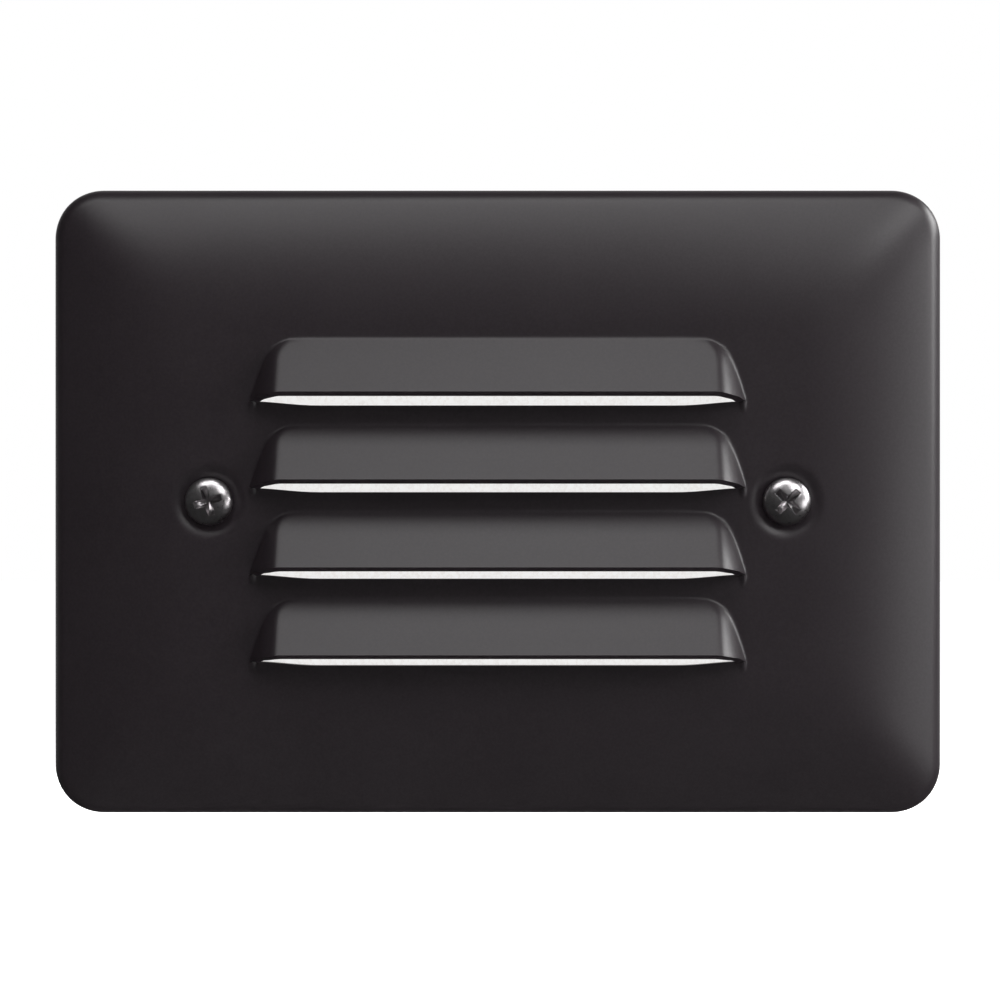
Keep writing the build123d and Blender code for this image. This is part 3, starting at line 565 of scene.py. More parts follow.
def moulded(slot, light, dark, roughness, relief, scale=900):
    """A moulded or rubbery material whose fine skin has this relief in millimetres."""
    finish = Finish(slot)
    skin = finish.noise(scale, detail=4, roughness=0.6)
    cloud = finish.noise(scale / 12, detail=2)
    return finish.surface(
        Base_Color=finish.mix((skin * 0.5 + cloud * 0.5).ramp(0.35, 0.65), dark, light),
        Roughness=roughness + 0.12 * (skin - 0.5),
        Normal=finish.bump(skin, relief * MM, 0.6),
    )


def painted_glow_lens(slot):
    """Frosted lens with a painted glow: its even white emission, with a soft grain, stands in for
    the lamp's light behind it.
    """
    colours = bpy.context.scene.step_light_colours
    finish = Finish(slot)
    frost = finish.noise(2200, roughness=0.6)
    share = frost.ramp(0.3, 0.7)
    return finish.surface(
        Base_Color=finish.mix(share, srgb(96, 96, 96), srgb(112, 112, 111)),
        Roughness=0.42 + 0.1 * frost,
        # painted glow: the lens shines by its own emission, and the lamp behind it gives no light
        Emission_Color=finish.mix(share, (*colours.lens, 1), srgb(250, 250, 249)),
        Emission_Strength=0.9,
        Normal=finish.bump(frost, 0.01 * MM, 0.4),
    )


def clear_glass(slot):
    """The lamp's clear envelope with slight streaks from drawing."""
    finish = Finish(slot)
    streaks = finish.noise(8, detail=2, at=finish.stretched((20, 160, 160)))
    return finish.surface(
        Base_Color=srgb(250, 252, 252),
        Transmission_Weight=1.0,
        IOR=1.47,
        Roughness=0.02 + 0.03 * streaks,
        Normal=finish.bump(streaks, 0.02 * MM, 0.3),
    )


def closed_foam(slot):
    """Closed-cell foam, matt and finely pitted."""
    finish = Finish(slot)
    cell = finish.cells(1700).ramp(0.1, 0.6)
    cloud = finish.noise(260)
    return finish.surface(
        Base_Color=finish.mix(cell * 0.6 + cloud * 0.4, srgb(26, 26, 27), srgb(50, 50, 52)),
        Roughness=0.85 + 0.1 * (cloud - 0.5),
        Normal=finish.bump(cell, 0.08 * MM, 0.8),
    )


# slot: the maker of its finish, and what the maker takes after the slot
MAKERS = {
    "bronze_coat": (bronze_coat,),
    "stainless": (metal, srgb(206, 202, 204), 0.29),
    "seal_rubber": (moulded, srgb(34, 34, 35), srgb(20, 20, 21), 0.6, 0.02),
    "silicone": (moulded, srgb(214, 210, 202), srgb(196, 190, 180), 0.5, 0.01),
    # the lens's finish paints a glow onto it
    "frosted_glass": (painted_glow_lens,),
    "cast_housing": (cast_metal,),
    "foam": (closed_foam,),
    "bright_aluminium": (metal, srgb(232, 233, 235), 0.2, (25, 400, 400), 0.14),
    "holder_ceramic": (moulded, srgb(228, 222, 208), srgb(212, 204, 188), 0.42, 0.02, 700),
    "brass": (metal, srgb(214, 176, 104), 0.28, (400, 400, 60), 0.14),
    "plated_steel": (metal, srgb(196, 200, 198), 0.3, (60, 420, 420), 0.16),
    "clear_glass": (clear_glass,),
    "tungsten": (metal, srgb(120, 116, 112), 0.4),
    "lamp_wire": (metal, srgb(190, 186, 180), 0.3),
    "block_plastic": (moulded, srgb(224, 223, 216), srgb(210, 208, 200), 0.4, 0.012, 800),
    "black_insulation": (moulded, srgb(38, 38, 39), srgb(26, 26, 27), 0.42, 0.01, 600),
    "white_insulation": (moulded, srgb(226, 224, 218), srgb(208, 205, 198), 0.42, 0.01, 600),
    "black_nylon": (moulded, srgb(44, 44, 46), srgb(30, 30, 31), 0.48, 0.03, 700),
}
FINISHES = {}


class LightOperator:
    """What every operator here shares."""

    bl_options = {"REGISTER", "UNDO"}


class STEPLIGHT_OT_finishes(LightOperator, bpy.types.Operator):
    """Makes the finishes, and gives them to the frame's nodes by their slots"""

    bl_idname = "step_light.finishes"
    bl_label = "Finishes"

    def execute(self, context):
        for slot, (maker, *values) in MAKERS.items():
            FINISHES[slot] = maker(slot, *values)
        for node, slot in SLOT_OF.items():
            coated(NODES[node].data, slot)
        return {"FINISHED"}


# ---- Face plate ----
# The blank is a grid in the middle, from which rings lead over the border to the rim.
BORDER_X = 17 * MM
BORDER_Z = 17.5 * MM
# The columns' places and spacings from the middle out, finest across the hoods' ends.
COLUMNS = ((0, 1.5 * MM), (30 * MM, 0.3 * MM), (33 * MM, 0.2 * MM), (37 * MM, 0.4 * MM))
RING_SPACING = 0.9 * MM
BORDER_RINGS = 16
BEND_RINGS = 8
WALL_RINGS = 3
# A screw's hole is this much wider than its thread, and points this near are drawn onto it.
HOLE_PLAY = 0.25 * MM
HOLE_REACH = 0.6 * MM
# Where the movements of a slit's edges fade out, as shares of its half length.
LIFT_FADE = (0.86, 0.985)
SAG_FADE = (0.72, 1.0)
CUT_EDGE_FADE = (0.955, 1.0)
# How far below a slit its sag reaches, and over what length the drawn metal fades at a tip.
SAG_REACH = 3 * MM
TIP_FADE = 1.2 * MM
# The two edges of a slit are told apart by this nudge.
NUDGE = 0.02 * MM


def grid_lines(*stops):
    """Places along one axis: each stop is (place, spacing that follows it)."""
    places = []
    for (place, spacing), (following, _) in zip(stops, stops[1:]):
        steps = max(1, round((following - place) / spacing))
        places += [place + (following - place) * step / steps for step in range(steps)]
    return places + [stops[-1][0]]


def outline_point(x, z, plate, inner_x, inner_z):
    """Where a point on the edge of the inner field ends up on the plate's outline."""
    half_x, half_z, radius = plate.half_width, plate.half_height, plate.corner
    x, z = x * half_x / inner_x, z * half_z / inner_z
    run_x = max(0.0, abs(x) - (half_x - radius)) / radius
    run_z = max(0.0, abs(z) - (half_z - radius)) / radius
    if run_x == 0 or run_z == 0:
        return x, z
    along_top = abs(z) >= abs(x) * half_z / half_x
    turn = radians(45) * (run_x if along_top else 2 - run_z)
    corner_x = half_x - radius + radius * sin(turn)
    corner_z = half_z - radius + radius * cos(turn)
    return (corner_x if x > 0 else -corner_x), (corner_z if z > 0 else -corner_z)


def slit_rows(shape, xs, zs, slits, tip):
    """The grid's points in rows, each as its upper and lower side, which part at a slit."""
    lip = shape.verts.layers.float["lip"]
    rows = []
    for z in zs:
        upper = [shape.verts.new((x, 0, z)) for x in xs]
        lower = upper
        if any(abs(z - slit) < TINY for slit in slits):
            lower = [
                shape.verts.new((x, 0, z)) if abs(x) < tip else vert
                for x, vert in zip(xs, upper)
            ]
            for vert, twin in zip(upper, lower):
                vert[lip] = 1
                if twin is not vert:
                    twin[lip] = -1
        rows.append((upper, lower))
    return rows


def holed_grid(shape, rows, screw_x, hole):
    """The grid's faces around the screws' holes, whose edges are drawn onto circles."""
    lip = shape.verts.layers.float["lip"]
    for (below, _), (_, above) in zip(rows, rows[1:]):
        for column in range(len(below) - 1):
            corners = [below[column], below[column + 1], above[column + 1], above[column]]
            middle = sum((vert.co for vert in corners), Vector()) / 4
            if (abs(middle.x) - screw_x) ** 2 + middle.z**2 > hole**2:
                shape.faces.new(corners)
    for vert in [vert for vert in shape.verts if not vert.link_faces]:
        shape.verts.remove(vert)
    for vert in shape.verts:
        offset = Vector((abs(vert.co.x) - screw_x, 0, vert.co.z))
        if vert.is_boundary and offset.length < hole + HOLE_REACH and vert[lip] == 0:
            reach = offset.normalized() * hole
            vert.co.x = (screw_x + reach.x) * (1 if vert.co.x > 0 else -1)
            vert.co.z = reach.z


def plate_blank(plate, louvres, screws):
    """The flat blank: a field of fine quads, slit under each hood, in rings out to the rim.

    The point attribute drop says how far down the rim's upright wall a point lies, and lip
    is 1 on a slit's upper edge and -1 on its lower edge.
    """
    slits = [
        louvres.top_lip - louvres.lip_lift - row * louvres.pitch
        for row in reversed(range(louvres.count))
    ]
    inner_x = plate.half_width - BORDER_X
    inner_z = plate.half_height - BORDER_Z
    half = grid_lines(*COLUMNS, (inner_x, None))
    xs = [-x for x in reversed(half[1:])] + half
    # the rows are finest at each slit's edges and at each hood's upper crease
    hood_top = louvres.height + louvres.lip_lift
    stops = [(-inner_z, 0.7 * MM), (slits[0] - 2.1 * MM, 0.3 * MM)]
    for slit in slits:
        stops += [
            (slit, 0.3 * MM),
            (slit + 1.5 * MM, 0.5 * MM),
            (slit + hood_top - 1.2 * MM, 0.24 * MM),
            (slit + hood_top + 1.2 * MM, 0.35 * MM),
        ]
    zs = grid_lines(*stops, (inner_z, None))
    shape = bmesh.new()
    for name in ("drop", "lip"):
        shape.verts.layers.float.new(name)
    rows = slit_rows(shape, xs, zs, slits, louvres.slit_half_length)
    holed_grid(shape, rows, screws.spacing / 2, screws.thread_radius + HOLE_PLAY)
    bottom = rows[0][0]
    top = rows[-1][0]
    right = [row[0][-1] for row in rows[1:-1]]
    left = [row[0][0] for row in rows[1:-1]]
    ring = bottom + right + top[::-1] + left[::-1]
    targets = [outline_point(vert.co.x, vert.co.z, plate, inner_x, inner_z) for vert in ring]
    starts = [vert.co.copy() for vert in ring]
    turns = [radians(90 * step / BEND_RINGS) for step in range(BEND_RINGS + 1)]
    insets = [plate.rim_bend * (1 - cos(turn)) for turn in turns]
    insets += [plate.rim_bend + RING_SPACING * step for step in range(1, BORDER_RINGS + 1)]
    for inset in reversed(insets):
        share = inset / BORDER_X
        following = [
            shape.verts.new((x + (start.x - x) * share, 0, z + (start.z - z) * share))
            for (x, z), start in zip(targets, starts)
        ]
        join_rings(shape, following, ring)
        ring = following
    drop = shape.verts.layers.float["drop"]
    for step in range(1, WALL_RINGS + 1):
        following = [shape.verts.new((x, 0, z)) for x, z in targets]
        for vert in following:
            vert[drop] = step / WALL_RINGS
        join_rings(shape, following, ring)
        ring = following
    return from_bmesh("sheet", shape, clean=False)


def sizes_of(group, *fields):
    """Some or all of a group's sizes, as named inputs for a tree."""
    fields = fields or type(group).__annotations__
    return {field: getattr(group, field) for field in fields}


def pressing(plate, louvres, screws, material):
    """The rule of the press: how far each point of the blank is driven to the front."""
    recipe = Recipe(
        "Pressing",
        **sizes_of(
            plate, "half_width", "half_height", "corner", "plateau", "slope_rise",
            "slope_width", "slope_power", "rim_bend", "diagonal_blend",
        ),
        **sizes_of(louvres),
        **sizes_of(screws, "spacing", "dimple_radius", "dimple_depth", "seat_radius"),
        coat=material,
    )
    place = recipe.node("GeometryNodeInputPosition")
    x, z = recipe.node("ShaderNodeSeparateXYZ", None, place, out=("X", "Z"))
    drop, lip = (
        recipe.node("GeometryNodeInputNamedAttribute", {"data_type": "FLOAT"}, name)
        for name in ("drop", "lip")
    )
    side = abs(x)
    # slits are counted upwards from 0, and row is the last one under a point or else -1
    lowest = recipe.top_lip - recipe.lip_lift - (recipe.count - 1) * recipe.pitch
    nudged = z + lip * NUDGE
    row = ((nudged - lowest) / recipe.pitch).floor().most(-1).least(recipe.count - 1)
    slit = lowest + row * recipe.pitch
    next_slit = slit + recipe.pitch
    hooded = row.above(-0.5)
    followed = 1 - row.above(recipe.count - 1.5)
    # the upper edge is lifted and the lower edge sags, most in the middle of the slit
    along = side / recipe.slit_half_length
    lift = recipe.lip_lift * along.fade(*LIFT_FADE) + recipe.lip_edge * along.fade(*CUT_EDGE_FADE)
    reach = recipe.height + recipe.lip_lift
    lifted = lift * (1 - (nudged - slit) / reach).most(0)
    sag = recipe.land_sag * along.fade(*SAG_FADE)
    sagging = sag * (1 - (next_slit - nudged) / SAG_REACH).most(0)
    pressed_z = z + lifted * hooded - sagging * followed

    def hood_height(of_slit, height):
        """A hood's height: its ramp, less the fall outside its face's rounded outline."""
        top = of_slit + reach
        ramp = (top - height) * (recipe.proud / recipe.height)
        out_x = (side - (recipe.face_half_width - recipe.face_corner)).most(0)
        out_z = (height - (top - recipe.face_corner)).most(0)
        from_corner = (out_x ** 2 + out_z ** 2).root()
        outside = (from_corner - recipe.face_corner).most(0, recipe.crease * 2)
        fall = outside * (recipe.end_slope + outside * recipe.end_curve)
        return (ramp - fall).most(0.0, recipe.crease)

    # the metal drawn in below a slit's tips joins them to the flat
    tip = side.ramp(recipe.slit_half_length - TIP_FADE, recipe.slit_half_length)
    drawn = (1 - (next_slit - nudged) / recipe.tip_draw).most(0) * tip * followed
    hood = hood_height(slit, pressed_z) * hooded + hood_height(next_slit, next_slit) * drawn
    # the swelling, its soft diagonals and the bend at the rim
    edge_x = recipe.half_width - side
    edge_z = recipe.half_height - abs(z)
    edge = edge_x.least(edge_z, recipe.diagonal_blend).most(0)
    slope = recipe.slope_rise * (1 - edge / recipe.slope_width).most(0) ** recipe.slope_power
    corner_x = (recipe.corner - edge_x).most(0)
    corner_z = (recipe.corner - edge_z).most(0)
    rim = recipe.corner - (corner_x ** 2 + corner_z ** 2).root()
    rim = rim.least(edge_x).least(edge_z)
    bent = (recipe.rim_bend - rim).most(0).least(recipe.rim_bend)
    bend = recipe.rim_bend - (recipe.rim_bend ** 2 - bent ** 2).most(0).root()
    # the dimples
    from_screw = ((side - recipe.spacing / 2) ** 2 + z ** 2).root()
    dimple = recipe.dimple_depth * from_screw.fade(recipe.seat_radius, recipe.dimple_radius)
    depth = (recipe.plateau - slope - bend + hood - dimple) * (1 - drop)
    moved = recipe.node("ShaderNodeCombineXYZ", None, x, 0 - depth, pressed_z)
    pressed = recipe.node("GeometryNodeSetPosition", None, recipe.geometry, Position=moved)
    return recipe.done(pressed, recipe.coat)


class STEPLIGHT_OT_face_plate(LightOperator, bpy.types.Operator):
    """Presses the face plate from a slit blank, and gives the sheet its thickness"""

    bl_idname = "step_light.face_plate"
    bl_label = "Face plate"

    def execute(self, context):
        scene = context.scene
        plate, louvres, screws = (
            scene.step_light_plate, scene.step_light_louvres, scene.step_light_screws
        )
        coat = FINISHES["bronze_coat"]
        sheet = plate_blank(plate, louvres, screws)
        pressing(plate, louvres, screws, coat).apply(sheet)
        modified(
            sheet, "SOLIDIFY", thickness=plate.sheet, offset=-1.0, use_even_offset=True,
            use_quality_normals=True,
        )
        settle(sheet)
        back = plate.sheet - plate.plateau
        nuts = solids("retainer_nuts")
        seats = [seat_of(box, back) for box in nuts]
        stud = welded_stud(plate.stud_radius, nuts[0][1].y + plate.stud_stand_out - back)
        studs = fastened("studs", seats, stud, coat)
        piece = smooth(merged("face_plate_pressed", sheet, studs), angle=40)
        dressed(piece, "face_plate")
        return {"FINISHED"}


# ---- Screws ----
# The cross cutter's rings from its top down, as shares of its depth and width, then its point
# as a share of its depth and its inner corners as a share of half its width.
CROSS_RINGS = ((0.9, 1.1), (0, 1), (-0.6, 0.84), (-1, 0.5))
CROSS_POINT = -1.25
CROSS_CORNER = 1.15
# The cross's reach and width as shares of the head's radius, and its depth of the height.
CROSS_REACH, CROSS_WIDTH, CROSS_DEPTH = 0.64, 0.3, 0.8
# A head's straight side and the rounding of its edges, as shares of its height.
HEAD_SIDE, HEAD_EDGE = 0.34, 0.05
# How far a small screw's cross is turned, in degrees.
SMALL_TURN = 24
# How deep a thread is cut, as a share of its pitch, and the points on one turn of it.
THREAD_DEPTH = 0.42
TURN_POINTS = 28
# A stud's pitch, the depth of its thread, and its chamfer.
STUD_PITCH, STUD_THREAD, STUD_TIP = 0.5 * MM, 0.08 * MM, 0.3 * MM


def cross_cutter(radius, width, depth, turn, seat, axis):
    """A tapered cross with pointed floor, which cuts a screw's recess."""
    shape = bmesh.new()
    half = width / 2
    arms = []
    for arm in range(4):
        angle = radians(90 * arm)
        along = Vector((cos(angle), sin(angle), 0))
        across = Vector((-sin(angle), cos(angle), 0))
        arms += [
            along * radius - across * half,
            along * radius + across * half,
            along * half * CROSS_CORNER + across * half * CROSS_CORNER,
        ]
    rotation = Matrix.Rotation(radians(turn), 3, "Z")

    def point(spot, height):
        spot = rotation @ spot + Vector((0, 0, height))
        return shape.verts.new(Vector(seat) + facing(axis) @ spot)

    rings = [[point(arm * share, depth * height) for arm in arms] for height, share in CROSS_RINGS]
    for ring, following in zip(rings, rings[1:]):
        join_rings(shape, ring, following)
    shape.faces.new(rings[0])
    join_rings(shape, rings[-1], [point(Vector(), depth * CROSS_POINT)] * len(arms))
    return from_bmesh("cross_cutter", shape)


def pan_screw(name, seat, axis, head_radius, head_height, root_radius, length, turn):
    """A pan-head screw without its thread: a turned head and shank with a cut cross."""
    shape = bmesh.new()
    side = HEAD_SIDE * head_height
    crown = [
        (head_radius * sin(radians(angle)), side + (head_height - side) * cos(radians(angle)))
        for angle in range(0, 91, 9)
    ]
    under = [
        (head_radius, side),
        (head_radius, 0.08 * head_height),
        (head_radius * 0.97, 0),
        (root_radius * 1.12, 0),
        (root_radius, -0.12 * head_height),
        (root_radius, -length + 0.6 * root_radius),
        (0.55 * root_radius, -length),
        (0, -length),
    ]
    lathe(shape, crown[:-1] + under, seat, axis, sides=64)
    piece = from_bmesh(name, shape)
    cutter = cross_cutter(
        CROSS_REACH * head_radius, CROSS_WIDTH * head_radius, CROSS_DEPTH * head_height, turn,
        Vector(seat) + Vector(axis) * head_height, axis,
    )
    modified(piece, "BOOLEAN", object=cutter, operation="DIFFERENCE", solver="EXACT")
    settle(piece)
    bpy.data.objects.remove(cutter)
    return rounded(piece, HEAD_EDGE * head_height, angle=38)


def winding(name, radius, wire, pitch, turns, sides, material):
    """The tree of a wire wound on a helix about +Z, which also serves as a thread's ridge."""
    recipe = Recipe(
        name, radius=radius, wire=wire, pitch=pitch, turns=turns, sides=sides,
        points_per_turn=TURN_POINTS, metal=material,
    )
    helix = recipe.node(
        "GeometryNodeCurveSpiral", None, recipe.points_per_turn, recipe.turns,
        recipe.radius - recipe.wire, recipe.radius - recipe.wire, recipe.pitch * recipe.turns,
    )
    upright = recipe.node("GeometryNodeSetCurveNormal", {"mode": "Z_UP"}, helix)
    section = recipe.node(
        "GeometryNodeCurvePrimitiveCircle", None, Resolution=recipe.sides, Radius=recipe.wire
    )
    swept = recipe.node(
        "GeometryNodeCurveToMesh", None, upright, Profile_Curve=section, Fill_Caps=True
    )
    return recipe.done(swept, recipe.metal)


def wound(name, start, axis, reach, radius, wire, pitch, material, sides=4):
    """A winding from start along the axis: a thread's ridge, or a coil of round wire."""
    piece = linked(name, bpy.data.meshes.new(name))
    winding(name, radius, wire, pitch, reach / pitch, sides, material).apply(piece)
    piece.data.transform(Matrix.Translation(Vector(start)) @ facing(axis).to_4x4())
    return piece


def merged(name, *pieces):
    """One object from several, which it takes the place of."""
    shape = bmesh.new()
    for piece in pieces:
        shape.from_mesh(piece.data)
        bpy.data.objects.remove(piece)
    return from_bmesh(name, shape, clean=False)


def threaded_screw(name, seat, reach, head_radius, head_height, radius, pitch, turn):
    """A pan-head screw that faces the front, with its cross and its thread."""
    ridge_depth = THREAD_DEPTH * pitch
    outwards = Vector((0, -1, 0))
    screw = pan_screw(
        name + "_turned", seat, outwards, head_radius, head_height, radius - ridge_depth,
        reach, turn,
    )
    run_out = 0.7 * radius
    start = Vector(seat) + Vector((0, reach - run_out, 0))
    ridge = wound(
        name + "_ridge", start, outwards, reach - radius, radius, ridge_depth, pitch,
        FINISHES["stainless"],
    )
    return smooth(merged(name, screw, ridge))


def welded_stud(radius, reach):
    """A threaded stud that stands on the sheet at the origin and points into the wall."""
    shape = bmesh.new()
    inwards = (0, 1, 0)
    foot = 1.25 * radius
    root = radius - STUD_THREAD
    profile = [
        (0, -STUD_TIP),
        (foot, -STUD_TIP),
        (foot, 0.25 * MM),
        (root, 0.7 * MM),
        (root, reach - STUD_TIP),
        (0.75 * radius, reach),
        (0, reach),
    ]
    lathe(shape, profile, (0, 0, 0), inwards, sides=32)
    body = from_bmesh("stud_body", shape)
    ridge = wound(
        "stud_ridge", (0, 0.9 * MM, 0), inwards, reach - 1.4 * MM, radius, STUD_THREAD,
        STUD_PITCH, FINISHES["bronze_coat"],
    )
    return merged("stud", body, ridge)


# ---- Like pieces, set out on their seats ----
def solids(node):
    """The lowest and highest corners of each separate solid of a frame node."""
    shape = welded(node)
    left = set(shape.verts)
    boxes = []
    while left:
        reached = [left.pop()]
        for vert in reached:
            for edge in vert.link_edges:
                other = edge.other_vert(vert)
                if other in left:
                    left.remove(other)
                    reached.append(other)
        places = [tuple(vert.co) for vert in reached]
        boxes.append((Vector(map(min, zip(*places))), Vector(map(max, zip(*places)))))
    shape.free()
    return sorted(boxes, key=lambda box: tuple(box[0]))


def seat_of(box, depth):
    """The middle of a box as seen from the front, at this depth."""
    low, high = box
    return (low.x + high.x) / 2, depth, (low.z + high.z) / 2


def fastening(name, template, material):
    """The tree that sets one copy of the template on each point."""
    recipe = Recipe(name, template=template, metal=material)
    solid = recipe.node(
        "GeometryNodeObjectInfo", {"transform_space": "ORIGINAL"}, recipe.template,
        out="Geometry",
    )
    copies = recipe.node(
        "GeometryNodeInstanceOnPoints", None, Points=recipe.geometry, Instance=solid
    )
    return recipe.done(copies, recipe.metal)


def fastened(name, seats, template, material):
    """One mesh with the template, which is at the origin, on each of the seats."""
    mesh = bpy.data.meshes.new(name)
    mesh.from_pydata(seats, [], [])
    piece = linked(name, mesh)
    fastening(name, template, material).apply(piece)
    bpy.data.objects.remove(template)
    return piece


class STEPLIGHT_OT_face_screws(LightOperator, bpy.types.Operator):
    """Makes the two stainless face screws with their crosses and threads"""

    bl_idname = "step_light.face_screws"
    bl_label = "Face screws"

    def execute(self, context):
        sizes = context.scene.step_light_screws
        for node, turn in (("left_screw", sizes.left_turn), ("right_screw", sizes.right_turn)):
            low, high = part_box(node)
            seat = seat_of((low, high), low.y + sizes.head_height)
            screw = threaded_screw(
                node + "_threaded", seat, high.y - seat[1], sizes.head_radius,
                sizes.head_height, sizes.thread_radius, sizes.pitch, turn,
            )
            dressed(screw, node)
        return {"FINISHED"}


class STEPLIGHT_OT_small_screws(LightOperator, bpy.types.Operator):
    """Makes the small screws of the reflector, the bracket and the terminal block"""

    bl_idname = "step_light.small_screws"
    bl_label = "Small screws"

    def execute(self, context):
        sizes = context.scene.step_light_screws
        for node in ("reflector_screws", "bracket_screws", "terminal_fixing_screw"):
            boxes = solids(node)
            seats = [seat_of(box, box[0].y + sizes.small_head_height) for box in boxes]
            template = threaded_screw(
                "template", (0, 0, 0), boxes[0][1].y - seats[0][1], sizes.small_head_radius,
                sizes.small_head_height, sizes.small_radius, sizes.small_pitch, SMALL_TURN,
            )
            piece = fastened(node + "_set", seats, template, FINISHES[SLOT_OF[node]])
            dressed(smooth(piece), node)
        return {"FINISHED"}


# ---- Nuts and rivets ----
def hexagon_nut(flats, bore, height):
    """A hexagon nut on the origin, along +Y, with chamfered corners and a countersunk bore."""
    shape = bmesh.new()
    sides = 72
    face = 0.47 * flats
    chamfered_from = 0.45 * flats
    sink = 0.12 * height

    def hexagon(angle):
        return flats / 2 / cos(((angle + pi / 6) % (pi / 3)) - pi / 6)

    def chamfer(reach):
        return max(0, reach - chamfered_from) * tan(radians(30))

    def ring(radius, depth):
        verts = []
        for side in range(sides):
            angle = 2 * pi * side / sides
            reach = radius(angle)
            verts.append(shape.verts.new((reach * cos(angle), depth(reach), reach * sin(angle))))
        return verts

    rings = [
        ring(lambda angle: bore, lambda reach: sink),
        ring(lambda angle: bore + sink, lambda reach: 0),
        ring(lambda angle: face, chamfer),
        ring(hexagon, chamfer),
        ring(hexagon, lambda reach: height - chamfer(reach)),
        ring(lambda angle: face, lambda reach: height - chamfer(reach)),
        ring(lambda angle: bore + sink, lambda reach: height),
        ring(lambda angle: bore, lambda reach: height - sink),
    ]
    for first, second in zip(rings, rings[1:] + rings[:1]):
        join_rings(shape, second, first)
    return from_bmesh("nut", shape)


def domed_rivet(radius, head_radius, head_height, reach):
    """A rivet on the origin whose head faces -X and whose shank runs along +X."""
    shape = bmesh.new()
    crown = [
        (head_radius * sin(radians(angle)), head_height * cos(radians(angle)))
        for angle in range(0, 91, 10)
    ]
    tip = 0.2 * MM
    shank = [(radius, 0), (radius, tip - reach), (0.8 * radius, -reach), (0, -reach)]
    lathe(shape, crown + shank, (0, 0, 0), (-1, 0, 0), sides=40)
    return from_bmesh("rivet", shape)


class STEPLIGHT_OT_nuts_and_rivets(LightOperator, bpy.types.Operator):
    """Makes the nuts of the lens pack and the rivets of the lampholder"""

    bl_idname = "step_light.nuts_and_rivets"
    bl_label = "Nuts and rivets"

    def execute(self, context):
        sizes = context.scene.step_light_screws
        boxes = solids("retainer_nuts")
        low, high = boxes[0]
        seats = [seat_of(box, box[0].y) for box in boxes]
        flats = min(high.x - low.x, high.z - low.z)
        nut = hexagon_nut(flats, context.scene.step_light_plate.stud_radius, high.y - low.y)
        if high.x - low.x < high.z - low.z:
            nut.data.transform(Matrix.Rotation(radians(30), 4, "Y"))
        nuts = fastened("retainer_nut_set", seats, nut, FINISHES["stainless"])
        dressed(smooth(nuts), "retainer_nuts")
        boxes = solids("lampholder_rivets")
        low, high = boxes[0]
        seats = [
            (low.x + sizes.rivet_head_height, (low.y + high.y) / 2, (low.z + high.z) / 2)
            for low, high in boxes
        ]
        rivet = domed_rivet(
            sizes.rivet_radius, (high.z - low.z) / 2, sizes.rivet_head_height,
            high.x - seats[0][0],
        )
        rivets = fastened("rivet_set", seats, rivet, FINISHES["plated_steel"])
        dressed(smooth(rivets), "lampholder_rivets")
        return {"FINISHED"}


# ---- Lamp ----
class STEPLIGHT_OT_lamp(LightOperator, bpy.types.Operator):
    """Winds the lamp's filament"""

    bl_idname = "step_light.lamp"
    bl_label = "Lamp"

    def execute(self, context):
        lamp = context.scene.step_light_lamp
        low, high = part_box("lamp_filament")
        middle = (low + high) / 2
        coil = wound(
            "filament_coil", (middle.x, middle.y, low.z), (0, 0, 1), high.z - low.z,
            (high.x - low.x) / 2, lamp.filament_wire, lamp.filament_pitch,
            FINISHES["tungsten"], sides=8,
        )
        dressed(smooth(coil, angle=60), "lamp_filament")
        return {"FINISHED"}


# ---- Pieces that keep the frame's shape, with their edges rounded off ----
# The width of the rounding in millimetres.
EDGE_WIDTHS = {
    "left_screw_seal": 0.12,
    "right_screw_seal": 0.12,
    "lens": 0.12,
    "lens_gasket": 0.25,
    "lens_retainer": 0.12,
    "housing": 0.45,
    "housing_gasket": 0.5,
    "reflector": 0.1,
    "lampholder": 0.35,
    "lampholder_contacts": 0.08,
    "lampholder_bracket": 0.15,
    "lamp_glass": 0.25,
    "lamp_supports": 0.05,
    "lamp_contact_wires": 0.06,
    "terminal_block": 0.25,
    "terminal_tubes": 0.1,
    "terminal_screws": 0.08,
    "lead_clip": 0.12,
    "lower_lead": 0.05,
    "upper_lead": 0.05,
    "gland_body": 0.2,
    "gland_locknut": 0.25,
    "gland_cap": 0.15,
    "gland_bush": 0.15,
    "gland_washer": 0.2,
    "closure_plug": 0.2,
    "closure_washer": 0.2,
}


class STEPLIGHT_OT_rounded_edges(LightOperator, bpy.types.Operator):
    """Rounds off the edges of the pieces that keep the shape of their frame nodes"""

    bl_idname = "step_light.rounded_edges"
    bl_label = "Rounded edges"

    def execute(self, context):
        for node, width in EDGE_WIDTHS.items():
            dressed(softened(node, width * MM), node)
        return {"FINISHED"}


# ---- Stage ----
WHITE = (1, 1, 1, 1)
LAMP_SIZE = 0.35
LAMP_DISTANCE = 0.95
# A lamp further back than this share of its distance stays out of reflections.
BEHIND = 0.3
# Half the floor's side, and how far it lies below the object.
FLOOR_REACH = 4
FLOOR_DROP = 110 * MM
# The floor's own light beside the object, and what it gains far from it.
FLOOR_NEAR, FLOOR_FAR = 0.72, 0.28
# What reflections find of the floor and of the sky in front, and what they gain behind.
MIRROR_FRONT, MIRROR_BEHIND = 0.03, 0.6
SKY_FRONT, SKY_BEHIND = 0.043, 0.55
LAMPS = {
    # name: azimuth, elevation, power
    "key": (10, 60, 1.6),
    "key_right": (35, 35, 2.4),
    "key_left": (-25, 50, 1.45),
    "side": (75, 15, 3.6),
    "side_high": (90, 25, 3.2),
    "side_far": (106, 28, 3.4),
    "side_low": (55, -10, 1.66),
    "back": (150, 35, 6.0),
    "back_left": (-140, 30, 5.0),
}
CAMERA_PLACE = (0.33 * MM, -330.1 * MM, 0.22 * MM)
FOCAL_PIXELS = 2227
PHOTO_PIXELS = 1000
SENSOR = 36


